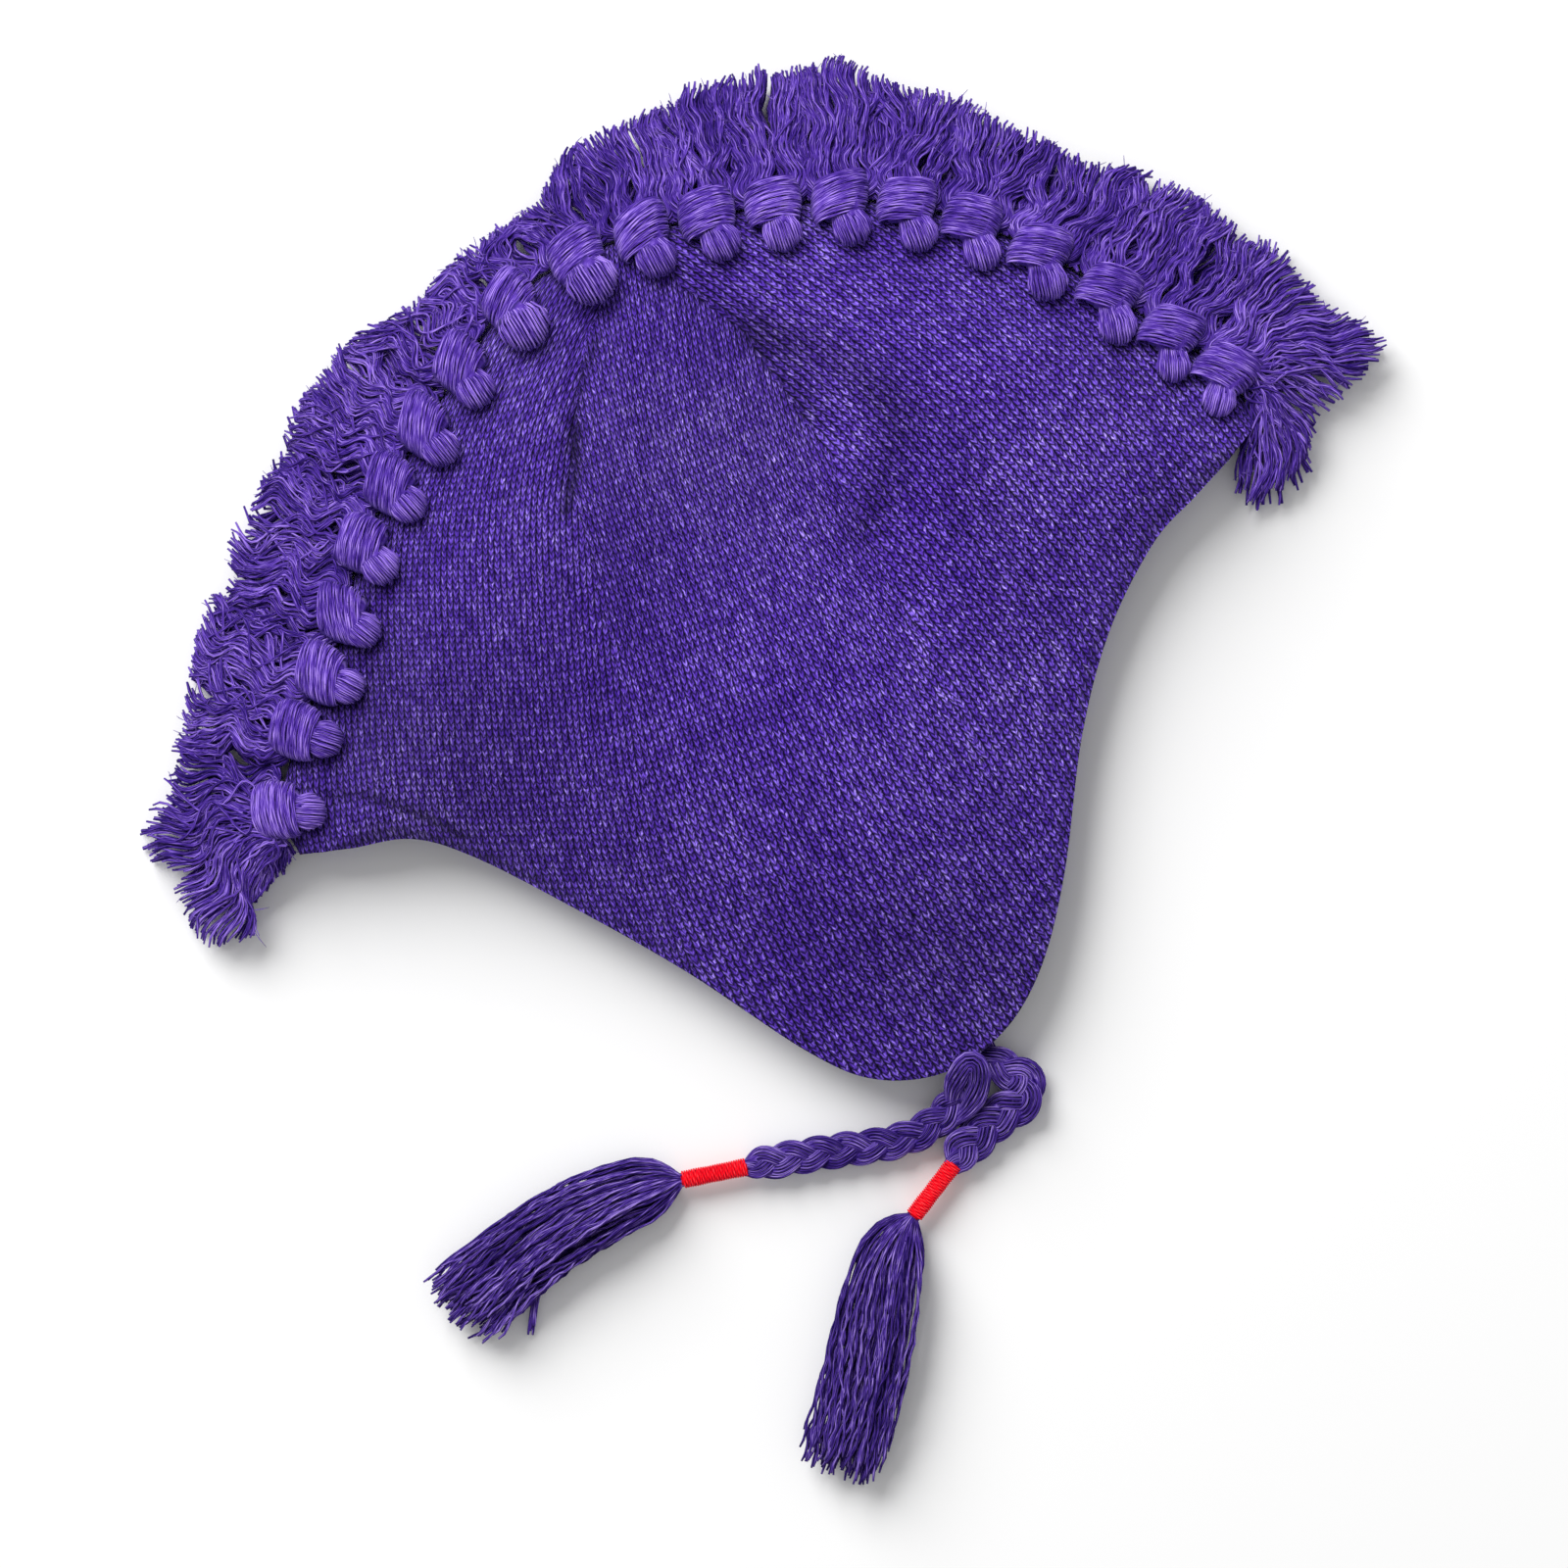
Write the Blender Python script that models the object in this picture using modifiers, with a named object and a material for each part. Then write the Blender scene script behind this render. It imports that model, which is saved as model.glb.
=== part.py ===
"""A knitted ear-flap beanie, lying flat on its far side with its crown ridge folded front to back.

The knit body is one hollow wall. A row of knotted yarn bundles stands along the ridge, each with a
ball, a band and a fringe of locks. Each ear flap has a braided tie with a thread wrap and a tassel.
Metres, +Z up. X runs along the hem line from front to back, Y up to the crown. The origin is on the
underside, at the middle of the hem line.
"""

import math

import bmesh
import bpy
from mathutils import Matrix, Vector

MM = 0.001
GAP = 0.3 * MM

# The knit body, as it lies
HALF_WIDTH = 134 * MM
CROWN_RISE = 110.5 * MM
FLAP_DROP = 117.5 * MM
WALL = 3.2 * MM
RIM_TOP = 12.4 * MM
RIM_ROLL = 2.2 * MM
RIM_ROLL_WIDTH = 9 * MM
DOME_RISE = 14.5 * MM
FOLD_WIDTH = 14 * MM
MOST_FOLD_SHARE = 0.5
FAR_RIM_INSET = 2 * MM
FAR_FLAP_SHORT = 11 * MM

# The row of knots and its fringe
BALL_RADIUS = 4.6 * MM
BAND_HALF_LENGTH = 7.2 * MM
BAND_HALF_DEPTH = 5.2 * MM
BAND_HALF_REACH = 7.0 * MM
FRINGE_LENGTH = 34 * MM
FRINGE_THICKNESS = 13 * MM
FRINGE_REST = 0.4 * MM
LOCKS_PER_KNOT = 4

# The ties
BRAID_WIDTH = 8.0 * MM
WRAP_LENGTH = 17.2 * MM
WRAP_DIAMETER = 4.7 * MM
TASSEL_WIDTH = 21 * MM
TASSEL_THICKNESS = 13 * MM
TASSEL_LENGTH = 67 * MM
NECK_LENGTH = 10 * MM
NECK_WIDTH = 6.4 * MM

# Mesh fineness
SECTIONS = 34
NEAR_ROWS = 12
FOLD_ROWS = 6
FAR_ROWS = 5
CURVE_STEPS = 16
TIE_STEPS = 16

# The ridge from the front hem corner over the crown to the back one.
# Columns: x as a share of HALF_WIDTH, y as a share of CROWN_RISE.
RIDGE = [
    (-1.000, -0.03),
    (-1.000, 0.08),
    (-0.910, 0.235),
    (-0.780, 0.39),
    (-0.655, 0.58),
    (-0.470, 0.77),
    (-0.230, 0.96),
    (0.000, 1.00),
    (0.310, 0.935),
    (0.540, 0.82),
    (0.740, 0.605),
    (0.914, 0.31),
    (0.985, 0.17),
    (1.000, 0.045),
]

# The hem round the ear flap, from the front to the back.
# Columns: x as a share of HALF_WIDTH, y as a share of FLAP_DROP.
HEM = [
    (-0.900, -0.060),
    (-0.790, -0.090),
    (-0.697, -0.173),
    (-0.567, -0.345),
    (-0.400, -0.577),
    (-0.236, -0.844),
    (-0.134, -0.954),
    (-0.010, -1.000),
    (0.114, -0.963),
    (0.221, -0.865),
    (0.332, -0.698),
    (0.465, -0.438),
    (0.590, -0.251),
    (0.730, -0.113),
    (0.836, -0.055),
    (0.925, -0.008),
]

# Sewn darts that crease the near side of the crown.
# Columns: x and y of the upper end, x and y of the lower end, as shares of HALF_WIDTH and CROWN_RISE,
# then the depth as a share of WALL.
DARTS = [
    (-0.06, 0.88, -0.25, 0.55, 0.9),
    (0.09, 0.84, 0.21, 0.42, 0.7),
]
DART_HALF_WIDTH = 7 * MM

# The knots along the ridge.
# Columns: place as a share of the ridge, ball size as a share of BALL_RADIUS, lean of the knot in
# degrees towards the back of the hat, fringe length as a share of FRINGE_LENGTH.
KNOTS = [
    (0.034, 0.92, 14, 1.03),
    (0.090, 0.96, 22, 0.93),
    (0.133, 0.92, 22, 0.97),
    (0.176, 0.92, 18, 1.02),
    (0.226, 0.98, 8, 0.96),
    (0.271, 0.96, 15, 0.95),
    (0.317, 1.00, 12, 0.92),
    (0.366, 1.04, 8, 0.82),
    (0.421, 1.36, 8, 0.66),
    (0.477, 1.36, 10, 0.66),
    (0.525, 1.10, 6, 0.92),
    (0.571, 1.02, 6, 1.05),
    (0.617, 1.04, -4, 0.98),
    (0.663, 0.98, 5, 1.10),
    (0.709, 0.98, 8, 0.86),
    (0.755, 0.96, 10, 0.86),
    (0.806, 1.02, 8, 0.82),
    (0.861, 1.02, 18, 0.97),
    (0.912, 0.88, 12, 1.02),
    (0.958, 0.86, 0, 1.10),
]

# Where the outermost tips of the first and last fringes reach, round the hem corners.
# x as a share of HALF_WIDTH, y as a share of CROWN_RISE.
FRONT_TIP = (-1.070, -0.18)
BACK_TIP = (0.985, -0.15)

# The locks of one fringe, side by side: length and thickness as shares of the fringe's own.
LOCKS = [(0.93, 0.88), (1.00, 1.00), (0.96, 0.92), (0.90, 0.84)]
ROOT_SPREAD = 13 * MM

# A fringe lock from root to tip.
# Columns: share of its length, half thickness as a share of FRINGE_THICKNESS, half width as a share
# of its room.
LOCK_SECTIONS = [
    (0.00, 0.26, 0.72),
    (0.33, 0.40, 0.60),
    (0.68, 0.45, 0.56),
    (1.00, 0.36, 0.48),
]

# The ties' routes, in mm, from where they leave the flaps to their wraps.
NEAR_TIE = [
    (3.0, -118.8, 10.4),
    (1.0, -122.0, 8.0),
    (-3.8, -126.2, 5.2),
    (-10.6, -129.0, 4.1),
    (-18.0, -129.8, 4.1),
    (-26.0, -128.6, 4.1),
    (-35.0, -126.2, 4.1),
    (-45.0, -123.8, 4.1),
    (-52.0, -122.3, 4.1),
    (-58.6, -121.0, 4.1),
]
FAR_TIE = [
    (6.0, -104.2, 4.1),
    (7.4, -112.0, 4.1),
    (10.9, -117.8, 4.1),
    (14.6, -122.6, 4.1),
    (16.4, -127.2, 4.1),
    (14.4, -131.2, 4.1),
    (9.0, -132.9, 4.1),
    (3.0, -134.3, 4.1),
    (-3.3, -136.9, 4.1),
    (-9.4, -140.3, 4.1),
]

# Each tassel bends as it lies.
# Columns: share of its length, turn away from the wrap in degrees.
NEAR_TASSEL_TURN = [(0.0, 2), (0.12, 8), (0.3, 16), (0.5, 21), (0.7, 30), (1.0, 37)]
FAR_TASSEL_TURN = [(0.0, 0), (0.12, 6), (0.25, 18), (0.5, 21), (1.0, 22)]

# A tassel from neck to cut end.
# Columns: share of its length, half width as a share of TASSEL_WIDTH, half thickness as a share of
# TASSEL_THICKNESS.
TASSEL_SECTIONS = [
    (0.07, 0.10, 0.18),
    (0.15, 0.34, 0.40),
    (0.35, 0.44, 0.48),
    (0.70, 0.49, 0.50),
    (1.00, 0.54, 0.42),
]

# The locks of one tassel, side by side: length and thickness as shares of the tassel's own.
TASSEL_LOCKS = [(0.96, 0.84), (0.99, 0.95), (1.00, 1.00), (0.97, 0.91), (0.94, 0.80)]

LIGHT_PURPLE = (0.11, 0.052, 0.33)
DEEP_PURPLE = (0.062, 0.028, 0.19)
RED = (0.78, 0.012, 0.03)


def clear_scene():
    for thing in list(bpy.data.objects):
        bpy.data.objects.remove(thing)


def make_collection(name):
    collection = bpy.data.collections.new(name)
    bpy.context.scene.collection.children.link(collection)
    return collection


def make_material(name, colour, roughness):
    material = bpy.data.materials.new(name)
    material.use_nodes = True
    shader = material.node_tree.nodes["Principled BSDF"]
    shader.inputs["Base Color"].default_value = (*colour, 1)
    shader.inputs["Roughness"].default_value = roughness
    shader.inputs["Metallic"].default_value = 0
    return material


def smooth(share):
    """0 below 0, 1 above 1, and an even rise between."""
    share = min(max(share, 0.0), 1.0)
    return share * share * (3 - 2 * share)


def curve_through(points, steps=CURVE_STEPS):
    """A fine line that passes smoothly through all the points."""
    ends = [2 * points[0] - points[1], *points, 2 * points[-1] - points[-2]]
    line = []
    for a, b, c, d in zip(ends, ends[1:], ends[2:], ends[3:]):
        for step in range(steps):
            t = step / steps
            line.append(
                (2 * b + (c - a) * t + (2 * a - 5 * b + 4 * c - d) * t**2 + (3 * b - a - 3 * c + d) * t**3) / 2
            )
    return [*line, points[-1]]


def lengths_along(line):
    """The distance from the line's start to each of its points."""
    lengths = [0.0]
    for a, b in zip(line, line[1:]):
        lengths.append(lengths[-1] + (b - a).length)
    return lengths


def point_at(line, share):
    """The point at a share of the line's length."""
    lengths = lengths_along(line)
    wanted = min(max(share, 0.0), 1.0) * lengths[-1]
    for i in range(1, len(line)):
        if lengths[i] >= wanted:
            part = (wanted - lengths[i - 1]) / max(lengths[i] - lengths[i - 1], 1e-9)
            return line[i - 1].lerp(line[i], part)
    return line[-1].copy()


def read_table(table, share):
    """A row of the table's values at a share, its first column, with straight steps between rows."""
    for low, high in zip(table, table[1:]):
        if share <= high[0]:
            part = (share - low[0]) / (high[0] - low[0])
            return [a + (b - a) * part for a, b in zip(low[1:], high[1:])]
    return list(table[-1][1:])


RIDGE_LINE = curve_through([Vector((x * HALF_WIDTH, y * CROWN_RISE, 0)) for x, y in RIDGE])
HEM_LINE = curve_through([Vector((x * HALF_WIDTH, y * FLAP_DROP, 0)) for x, y in HEM])
RIDGE_LENGTH = lengths_along(RIDGE_LINE)[-1]


def dart_depth(x, y):
    """How far the darts crease the near side at a place."""
    depth = 0.0
    for x0, y0, x1, y1, share in DARTS:
        start = Vector((x0 * HALF_WIDTH, y0 * CROWN_RISE))
        run = Vector((x1 * HALF_WIDTH, y1 * CROWN_RISE)) - start
        place = Vector((x, y)) - start
        along = min(max(place.dot(run) / run.length_squared, 0.0), 1.0)
        away = (place - along * run).length
        depth += share * WALL * math.exp(-((away / DART_HALF_WIDTH) ** 2))
    return depth


def fold_share(length):
    """The part of a section's length that the fold at the ridge takes."""
    return min(FOLD_WIDTH / length, MOST_FOLD_SHARE)


def near_height(across, down, length):
    """Height of the near side's outer face: across is the share along the ridge, down from it to the hem."""
    to_hem = (1 - down) * length
    to_corner = min(across, 1 - across) * RIDGE_LENGTH
    rolled = 1 - smooth(min(to_hem, to_corner) / RIM_ROLL_WIDTH)
    past_fold = max(down - fold_share(length), 0) / (1 - fold_share(length))
    dome = (1 - (2 * across - 1) ** 4) * math.sin(math.pi * past_fold**0.8) ** 1.3
    return RIM_TOP + RIM_ROLL * (1 - rolled) + DOME_RISE * dome


def section_ends(across):
    """Where a section line starts on the ridge and ends on the hem."""
    return point_at(RIDGE_LINE, across), point_at(HEM_LINE, across)


def fold_point(across, angle):
    """A point of the folded ridge and its outward normal. The angle is 90 at the near side, 0 at the ridge."""
    ridge, hem = section_ends(across)
    inward = (hem - ridge).normalized()
    length = (hem - ridge).length
    width = fold_share(length) * length
    half_height = near_height(across, fold_share(length), length) / 2
    turn = math.radians(angle)
    point = ridge + inward * width * (1 - math.cos(turn))
    point.z = half_height * (1 + math.sin(turn))
    normal = inward * (-math.cos(turn) / width) + Vector((0, 0, math.sin(turn) / half_height))
    return point, normal.normalized()


def far_hem_share(across, length):
    """Where a section of the far side ends. Its flap is a little shorter, so the near one hides it."""
    flap = math.exp(-(((across - 0.5) / 0.09) ** 2))
    return 1 - (FAR_RIM_INSET + FAR_FLAP_SHORT * flap) / length


def body_section(across):
    """The knit from the near hem over the ridge to the far hem, as one line of points."""
    ridge, hem = section_ends(across)
    length = (hem - ridge).length
    fold = fold_share(length)
    points = []
    for row in range(NEAR_ROWS):
        down = 1 + (fold - 1) * row / NEAR_ROWS
        point = ridge.lerp(hem, down)
        point.z = near_height(across, down, length) - dart_depth(point.x, point.y)
        points.append(point)
    for row in range(FOLD_ROWS + 1):
        points.append(fold_point(across, 90 - 180 * row / FOLD_ROWS)[0])
    far_share = far_hem_share(across, length)
    for row in range(1, FAR_ROWS + 1):
        down = fold + (far_share - fold) * row / FAR_ROWS
        point = ridge.lerp(hem, down)
        point.z = 0
        points.append(point)
    return points


def new_object(name, mesh, collection, material):
    thing = bpy.data.objects.new(name, mesh)
    collection.objects.link(thing)
    if material:
        mesh.materials.clear()
        mesh.materials.append(material)
    mesh.shade_smooth()
    mesh.set_sharp_from_angle(angle=math.radians(50))
    return thing


def build_knit_body(collection, material):
    """The knit wall: an open surface through the sections, thickened inwards."""
    shape = bmesh.new()
    rows = []
    for step in range(SECTIONS + 1):
        rows.append([shape.verts.new(point) for point in body_section(step / SECTIONS)])
    for left, right in zip(rows, rows[1:]):
        for a, b, c, d in zip(left, left[1:], right[1:], right):
            shape.faces.new((a, b, c, d)[::-1])
    mesh = bpy.data.meshes.new("knit_body")
    shape.to_mesh(mesh)
    shape.free()
    body = new_object("knit_body", mesh, collection, material)
    wall = body.modifiers.new("wall", "SOLIDIFY")
    wall.thickness = WALL
    wall.offset = -1
    return body


def loft(rings):
    """A closed mesh through rings of as many points each, with flat ends."""
    shape = bmesh.new()
    loops = [[shape.verts.new(point) for point in ring] for ring in rings]
    for first, second in zip(loops, loops[1:]):
        for i in range(len(first)):
            j = (i + 1) % len(first)
            shape.faces.new((first[i], first[j], second[j], second[i]))
    shape.faces.new(loops[0][::-1])
    shape.faces.new(loops[-1])
    bmesh.ops.recalc_face_normals(shape, faces=shape.faces)
    mesh = bpy.data.meshes.new("loft")
    shape.to_mesh(mesh)
    shape.free()
    return bpy.data.objects.new("loft", mesh)


def ellipse_ring(centre, side, up, half_width, half_height, number, corners=5):
    """Points of an ellipse round a centre. Each lock's number turns them a little from its neighbours'."""
    ring = []
    for i in range(corners):
        turn = 2 * math.pi * (i + 0.4 + 0.09 * number) / corners
        ring.append(centre + side * half_width * math.cos(turn) + up * half_height * math.sin(turn))
    return ring


def ellipsoid(centre, axes, radii, segments=8, rings=5):
    """A closed ball stretched along three axes."""
    frame = Matrix([axis * radius for axis, radius in zip(axes, radii)]).transposed().to_4x4()
    shape = bmesh.new()
    bmesh.ops.create_uvsphere(
        shape, u_segments=segments, v_segments=rings, radius=1, matrix=Matrix.Translation(centre) @ frame
    )
    bmesh.ops.recalc_face_normals(shape, faces=shape.faces)
    mesh = bpy.data.meshes.new("ellipsoid")
    shape.to_mesh(mesh)
    shape.free()
    return bpy.data.objects.new("ellipsoid", mesh)


def fuse(name, shapes, collection, helpers, material):
    """One solid from closed shapes that overlap."""
    for shape in shapes:
        helpers.objects.link(shape)
    for shape in shapes[1:]:
        union = shapes[0].modifiers.new("join", "BOOLEAN")
        union.operation = "UNION"
        union.object = shape
    bpy.context.view_layer.update()
    evaluated = shapes[0].evaluated_get(bpy.context.evaluated_depsgraph_get())
    mesh = bpy.data.meshes.new_from_object(evaluated)
    mesh.name = name
    for shape in shapes:
        bpy.data.objects.remove(shape)
    return new_object(name, mesh, collection, material)


def ridge_normal(share):
    """The level direction out of the hat, square to the ridge."""
    step = 0.004
    run = point_at(RIDGE_LINE, share + step) - point_at(RIDGE_LINE, share - step)
    return Vector((-run.y, run.x, 0)).normalized()


def tip_arc(index, root, out):
    """The angle from straight out, and the distance from the root, of both ends of a fringe's tips."""
    places = [row[0] for row in KNOTS]
    length = FRINGE_LENGTH * KNOTS[index][3]
    arc = []
    for first, second, end in ((index - 1, index, FRONT_TIP), (index, index + 1, BACK_TIP)):
        if first < 0 or second >= len(places):
            tip = Vector((end[0] * HALF_WIDTH, end[1] * CROWN_RISE, 0))
        else:
            middle = (places[first] + places[second]) / 2
            tip = point_at(RIDGE_LINE, middle) + ridge_normal(middle) * length
        away = tip - Vector((root.x, root.y, 0))
        arc.append((math.atan2(out.x * away.y - out.y * away.x, out.dot(away)), away.length))
    return arc


def arc_point(arc, across, share, root, out):
    """A point of the arc between its two ends, at a share of the way from the root."""
    (angle_a, reach_a), (angle_b, reach_b) = arc
    angle = angle_a + (angle_b - angle_a) * across
    reach = reach_a + (reach_b - reach_a) * across
    return Vector((root.x, root.y, 0)) + Matrix.Rotation(angle, 3, "Z") @ out * reach * share


def fringe_lock(number, root, out, arc):
    """One lock of a knot's fringe, from inside the band out and down to its tip on the floor."""
    length_share, thickness_share = LOCKS[number]
    across = (number + 0.5) / LOCKS_PER_KNOT
    side = Vector((out.y, -out.x, 0))
    start = Vector((root.x, root.y, 0)) + side * ROOT_SPREAD * (across - 0.5)
    tip = arc_point(arc, across, length_share, root, out)
    bend = start + out * (tip - start).length * 0.45
    tip_room = (arc_point(arc, 1, 1, root, out) - arc_point(arc, 0, 1, root, out)).length
    rings = []
    for share, thickness, width in LOCK_SECTIONS:
        centre = start * (1 - share) ** 2 + bend * 2 * share * (1 - share) + tip * share**2
        heading = ((bend - start) * (1 - share) + (tip - bend) * share).normalized()
        room = (ROOT_SPREAD + (tip_room - ROOT_SPREAD) * share) / LOCKS_PER_KNOT
        half_width = room * width - GAP / 2
        half_height = FRINGE_THICKNESS * thickness * thickness_share
        lowest = half_height + FRINGE_REST
        centre.z = lowest + max(root.z - lowest, 0) * (1 - share) ** 1.6
        across_way = Vector((heading.y, -heading.x, 0))
        rings.append(ellipse_ring(centre, across_way, Vector((0, 0, 1)), half_width, half_height, number))
    return loft(rings)


def build_knot(index, collection, helpers, material):
    """A yarn bundle knotted through the ridge: a ball on the near side, a band over it and a fringe."""
    place, ball_share, lean, _ = KNOTS[index]
    radius = BALL_RADIUS * ball_share
    band_foot, band_normal = fold_point(place, 38)
    band_centre = band_foot + band_normal * (BAND_HALF_DEPTH + GAP)
    out = ridge_normal(place)
    side = Vector((out.y, -out.x, 0))
    reach = band_normal.cross(side).normalized()
    band = ellipsoid(
        band_centre,
        (side, band_normal, reach),
        (BAND_HALF_LENGTH, BAND_HALF_DEPTH, BAND_HALF_REACH),
    )
    ball_foot, ball_normal = fold_point(place, 69)
    shift = side * math.tan(math.radians(lean)) * (ball_foot - band_foot).length
    ball_centre = ball_foot + ball_normal * (radius + 2 * GAP) + shift
    ball = ellipsoid(ball_centre, (side, ball_normal, reach), (radius, radius, radius), rings=4)
    arc = tip_arc(index, band_centre, out)
    locks = [fringe_lock(number, band_centre, out, arc) for number in range(LOCKS_PER_KNOT)]
    return fuse(f"knot_{index + 1:02d}", [band, ball, *locks], collection, helpers, material)


def build_tie(name, route, collection, material):
    """A braided tie as a round cord along its route. Returns its end point and direction."""
    line = curve_through([Vector(point) * MM for point in route])
    curve = bpy.data.curves.new(name, "CURVE")
    curve.dimensions = "3D"
    curve.bevel_depth = BRAID_WIDTH / 2
    curve.bevel_resolution = 2
    curve.use_fill_caps = True
    spline = curve.splines.new("POLY")
    spline.points.add(TIE_STEPS)
    for i in range(TIE_STEPS + 1):
        spline.points[i].co = (*point_at(line, i / TIE_STEPS), 1)
    tie = bpy.data.objects.new(name, curve)
    collection.objects.link(tie)
    curve.materials.append(material)
    return line[-1], (line[-1] - line[-4]).normalized()


def build_wrap(name, start, way, collection, material):
    """The thread wound round the end of a braid. Returns where it ends."""
    first = start + way * GAP
    last = first + way * WRAP_LENGTH
    turn = Vector((0, 0, 1)).rotation_difference(way).to_matrix().to_4x4()
    shape = bmesh.new()
    bmesh.ops.create_cone(
        shape,
        cap_ends=True,
        segments=12,
        radius1=WRAP_DIAMETER / 2,
        radius2=WRAP_DIAMETER / 2,
        depth=WRAP_LENGTH,
        matrix=Matrix.Translation((first + last) / 2) @ turn,
    )
    mesh = bpy.data.meshes.new(name)
    shape.to_mesh(mesh)
    shape.free()
    new_object(name, mesh, collection, material)
    return last


def tassel_spine(start, way, turns):
    """The tassel's middle line in plan, with its direction at each of its sections."""
    spine = []
    place = start.copy()
    steps = 40
    for step in range(steps + 1):
        share = step / steps
        angle = math.radians(read_table(turns, share)[0])
        heading = Matrix.Rotation(angle, 3, "Z") @ way
        spine.append((share, place.copy(), heading))
        place = place + heading * TASSEL_LENGTH / steps
    return spine


def build_tassel(name, start, way, turns, collection, helpers, material):
    """A cut bundle of yarn, in locks that start in its neck and lie on the floor."""
    level = Vector((way.x, way.y, 0)).normalized()
    upright = Vector((0, 0, 1))
    spine = tassel_spine(start + way * GAP, level, turns)
    neck_middle = start + way * (GAP + NECK_LENGTH / 2)
    neck_radii = (NECK_LENGTH / 2, NECK_WIDTH / 2, NECK_WIDTH / 2)
    shapes = [ellipsoid(neck_middle, (way, upright.cross(way).normalized(), upright), neck_radii)]
    count = len(TASSEL_LOCKS)
    for number, (length_share, thickness_share) in enumerate(TASSEL_LOCKS):
        across = 2 * (number + 0.5) / count - 1
        rings = []
        for share, width, thickness in TASSEL_SECTIONS:
            _, place, heading = spine[round(share * length_share * (len(spine) - 1))]
            side = Vector((-heading.y, heading.x, 0))
            room = TASSEL_WIDTH * width
            half_height = TASSEL_THICKNESS * thickness * thickness_share
            half_width = room / count * (1.3 if share < 1 else 0.95)
            centre = place + side * (room - half_width) * across
            hanging = 1 - smooth(share / 0.3)
            lowest = half_height + FRINGE_REST
            centre.z = lowest + max(start.z - lowest, 0) * hanging
            rings.append(ellipse_ring(centre, side, upright, half_width, half_height, number))
        shapes.append(loft(rings))
    return fuse(name, shapes, collection, helpers, material)


def main():
    clear_scene()
    beanie = make_collection("ear_flap_beanie")
    helpers = make_collection("fusing_shapes")
    knit = make_material("purple_knit", LIGHT_PURPLE, 0.9)
    yarn = make_material("purple_yarn", LIGHT_PURPLE, 0.85)
    tie_yarn = make_material("purple_tie_yarn", DEEP_PURPLE, 0.85)
    thread = make_material("red_thread", RED, 0.6)
    build_knit_body(beanie, knit)
    for index in range(len(KNOTS)):
        build_knot(index, beanie, helpers, yarn)
    for side, route, turns in (("near", NEAR_TIE, NEAR_TASSEL_TURN), ("far", FAR_TIE, FAR_TASSEL_TURN)):
        end, way = build_tie(f"tie_{side}", route, beanie, tie_yarn)
        wrap_end = build_wrap(f"wrap_{side}", end, way, beanie, thread)
        build_tassel(f"tassel_{side}", wrap_end, way, turns, beanie, helpers, tie_yarn)
    bpy.data.collections.remove(helpers)


main()
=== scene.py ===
"""Looks for the knitted ear-flap beanie: stitches, yarn, braids, tassels, light and camera."""

import math

import bpy
import numpy as np
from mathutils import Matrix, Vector

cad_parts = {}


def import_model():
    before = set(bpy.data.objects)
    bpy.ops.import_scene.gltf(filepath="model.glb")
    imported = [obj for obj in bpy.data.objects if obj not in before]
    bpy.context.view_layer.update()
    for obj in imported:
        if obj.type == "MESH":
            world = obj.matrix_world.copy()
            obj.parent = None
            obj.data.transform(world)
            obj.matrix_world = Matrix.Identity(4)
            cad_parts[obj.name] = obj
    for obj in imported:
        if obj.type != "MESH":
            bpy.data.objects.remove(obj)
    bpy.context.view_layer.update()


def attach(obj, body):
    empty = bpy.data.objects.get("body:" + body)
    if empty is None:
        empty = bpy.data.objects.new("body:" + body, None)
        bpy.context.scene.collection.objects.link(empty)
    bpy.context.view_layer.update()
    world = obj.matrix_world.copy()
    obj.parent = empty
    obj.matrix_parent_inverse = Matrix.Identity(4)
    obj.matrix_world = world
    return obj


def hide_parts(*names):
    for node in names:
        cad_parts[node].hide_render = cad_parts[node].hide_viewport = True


MM = 0.001
RNG = np.random.default_rng(7)

# The knit body, as in the part
HALF_WIDTH = 134 * MM
CROWN_RISE = 110.5 * MM
FLAP_DROP = 117.5 * MM
WALL = 3.2 * MM
RIM_TOP = 12.4 * MM
RIM_ROLL = 2.2 * MM
RIM_ROLL_WIDTH = 9 * MM
DOME_RISE = 14.5 * MM
FOLD_WIDTH = 14 * MM
MOST_FOLD_SHARE = 0.5
FAR_RIM_INSET = 2 * MM
FAR_FLAP_SHORT = 11 * MM

# How finely the knit is divided: sections along the ridge, and rows down the near side, fold and far side
SECTIONS = 230
NEAR_ROWS = 160
FOLD_ROWS = 16
FAR_ROWS = 20

# Ridge and near hem from front to back. Columns: shares of the half width, and of the rise or the drop
RIDGE = [
    (-1.000, -0.03),
    (-1.000, 0.08),
    (-0.910, 0.235),
    (-0.780, 0.39),
    (-0.655, 0.58),
    (-0.470, 0.77),
    (-0.230, 0.96),
    (0.000, 1.00),
    (0.310, 0.935),
    (0.540, 0.82),
    (0.740, 0.605),
    (0.914, 0.31),
    (0.985, 0.17),
    (1.000, 0.045),
]
HEM = [
    (-0.900, -0.060),
    (-0.790, -0.090),
    (-0.697, -0.173),
    (-0.567, -0.345),
    (-0.405, -0.581),
    (-0.244, -0.851),
    (-0.142, -0.961),
    (-0.012, -1.001),
    (0.115, -0.965),
    (0.225, -0.868),
    (0.334, -0.699),
    (0.465, -0.438),
    (0.590, -0.251),
    (0.730, -0.113),
    (0.836, -0.055),
    (0.925, -0.008),
]

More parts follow.
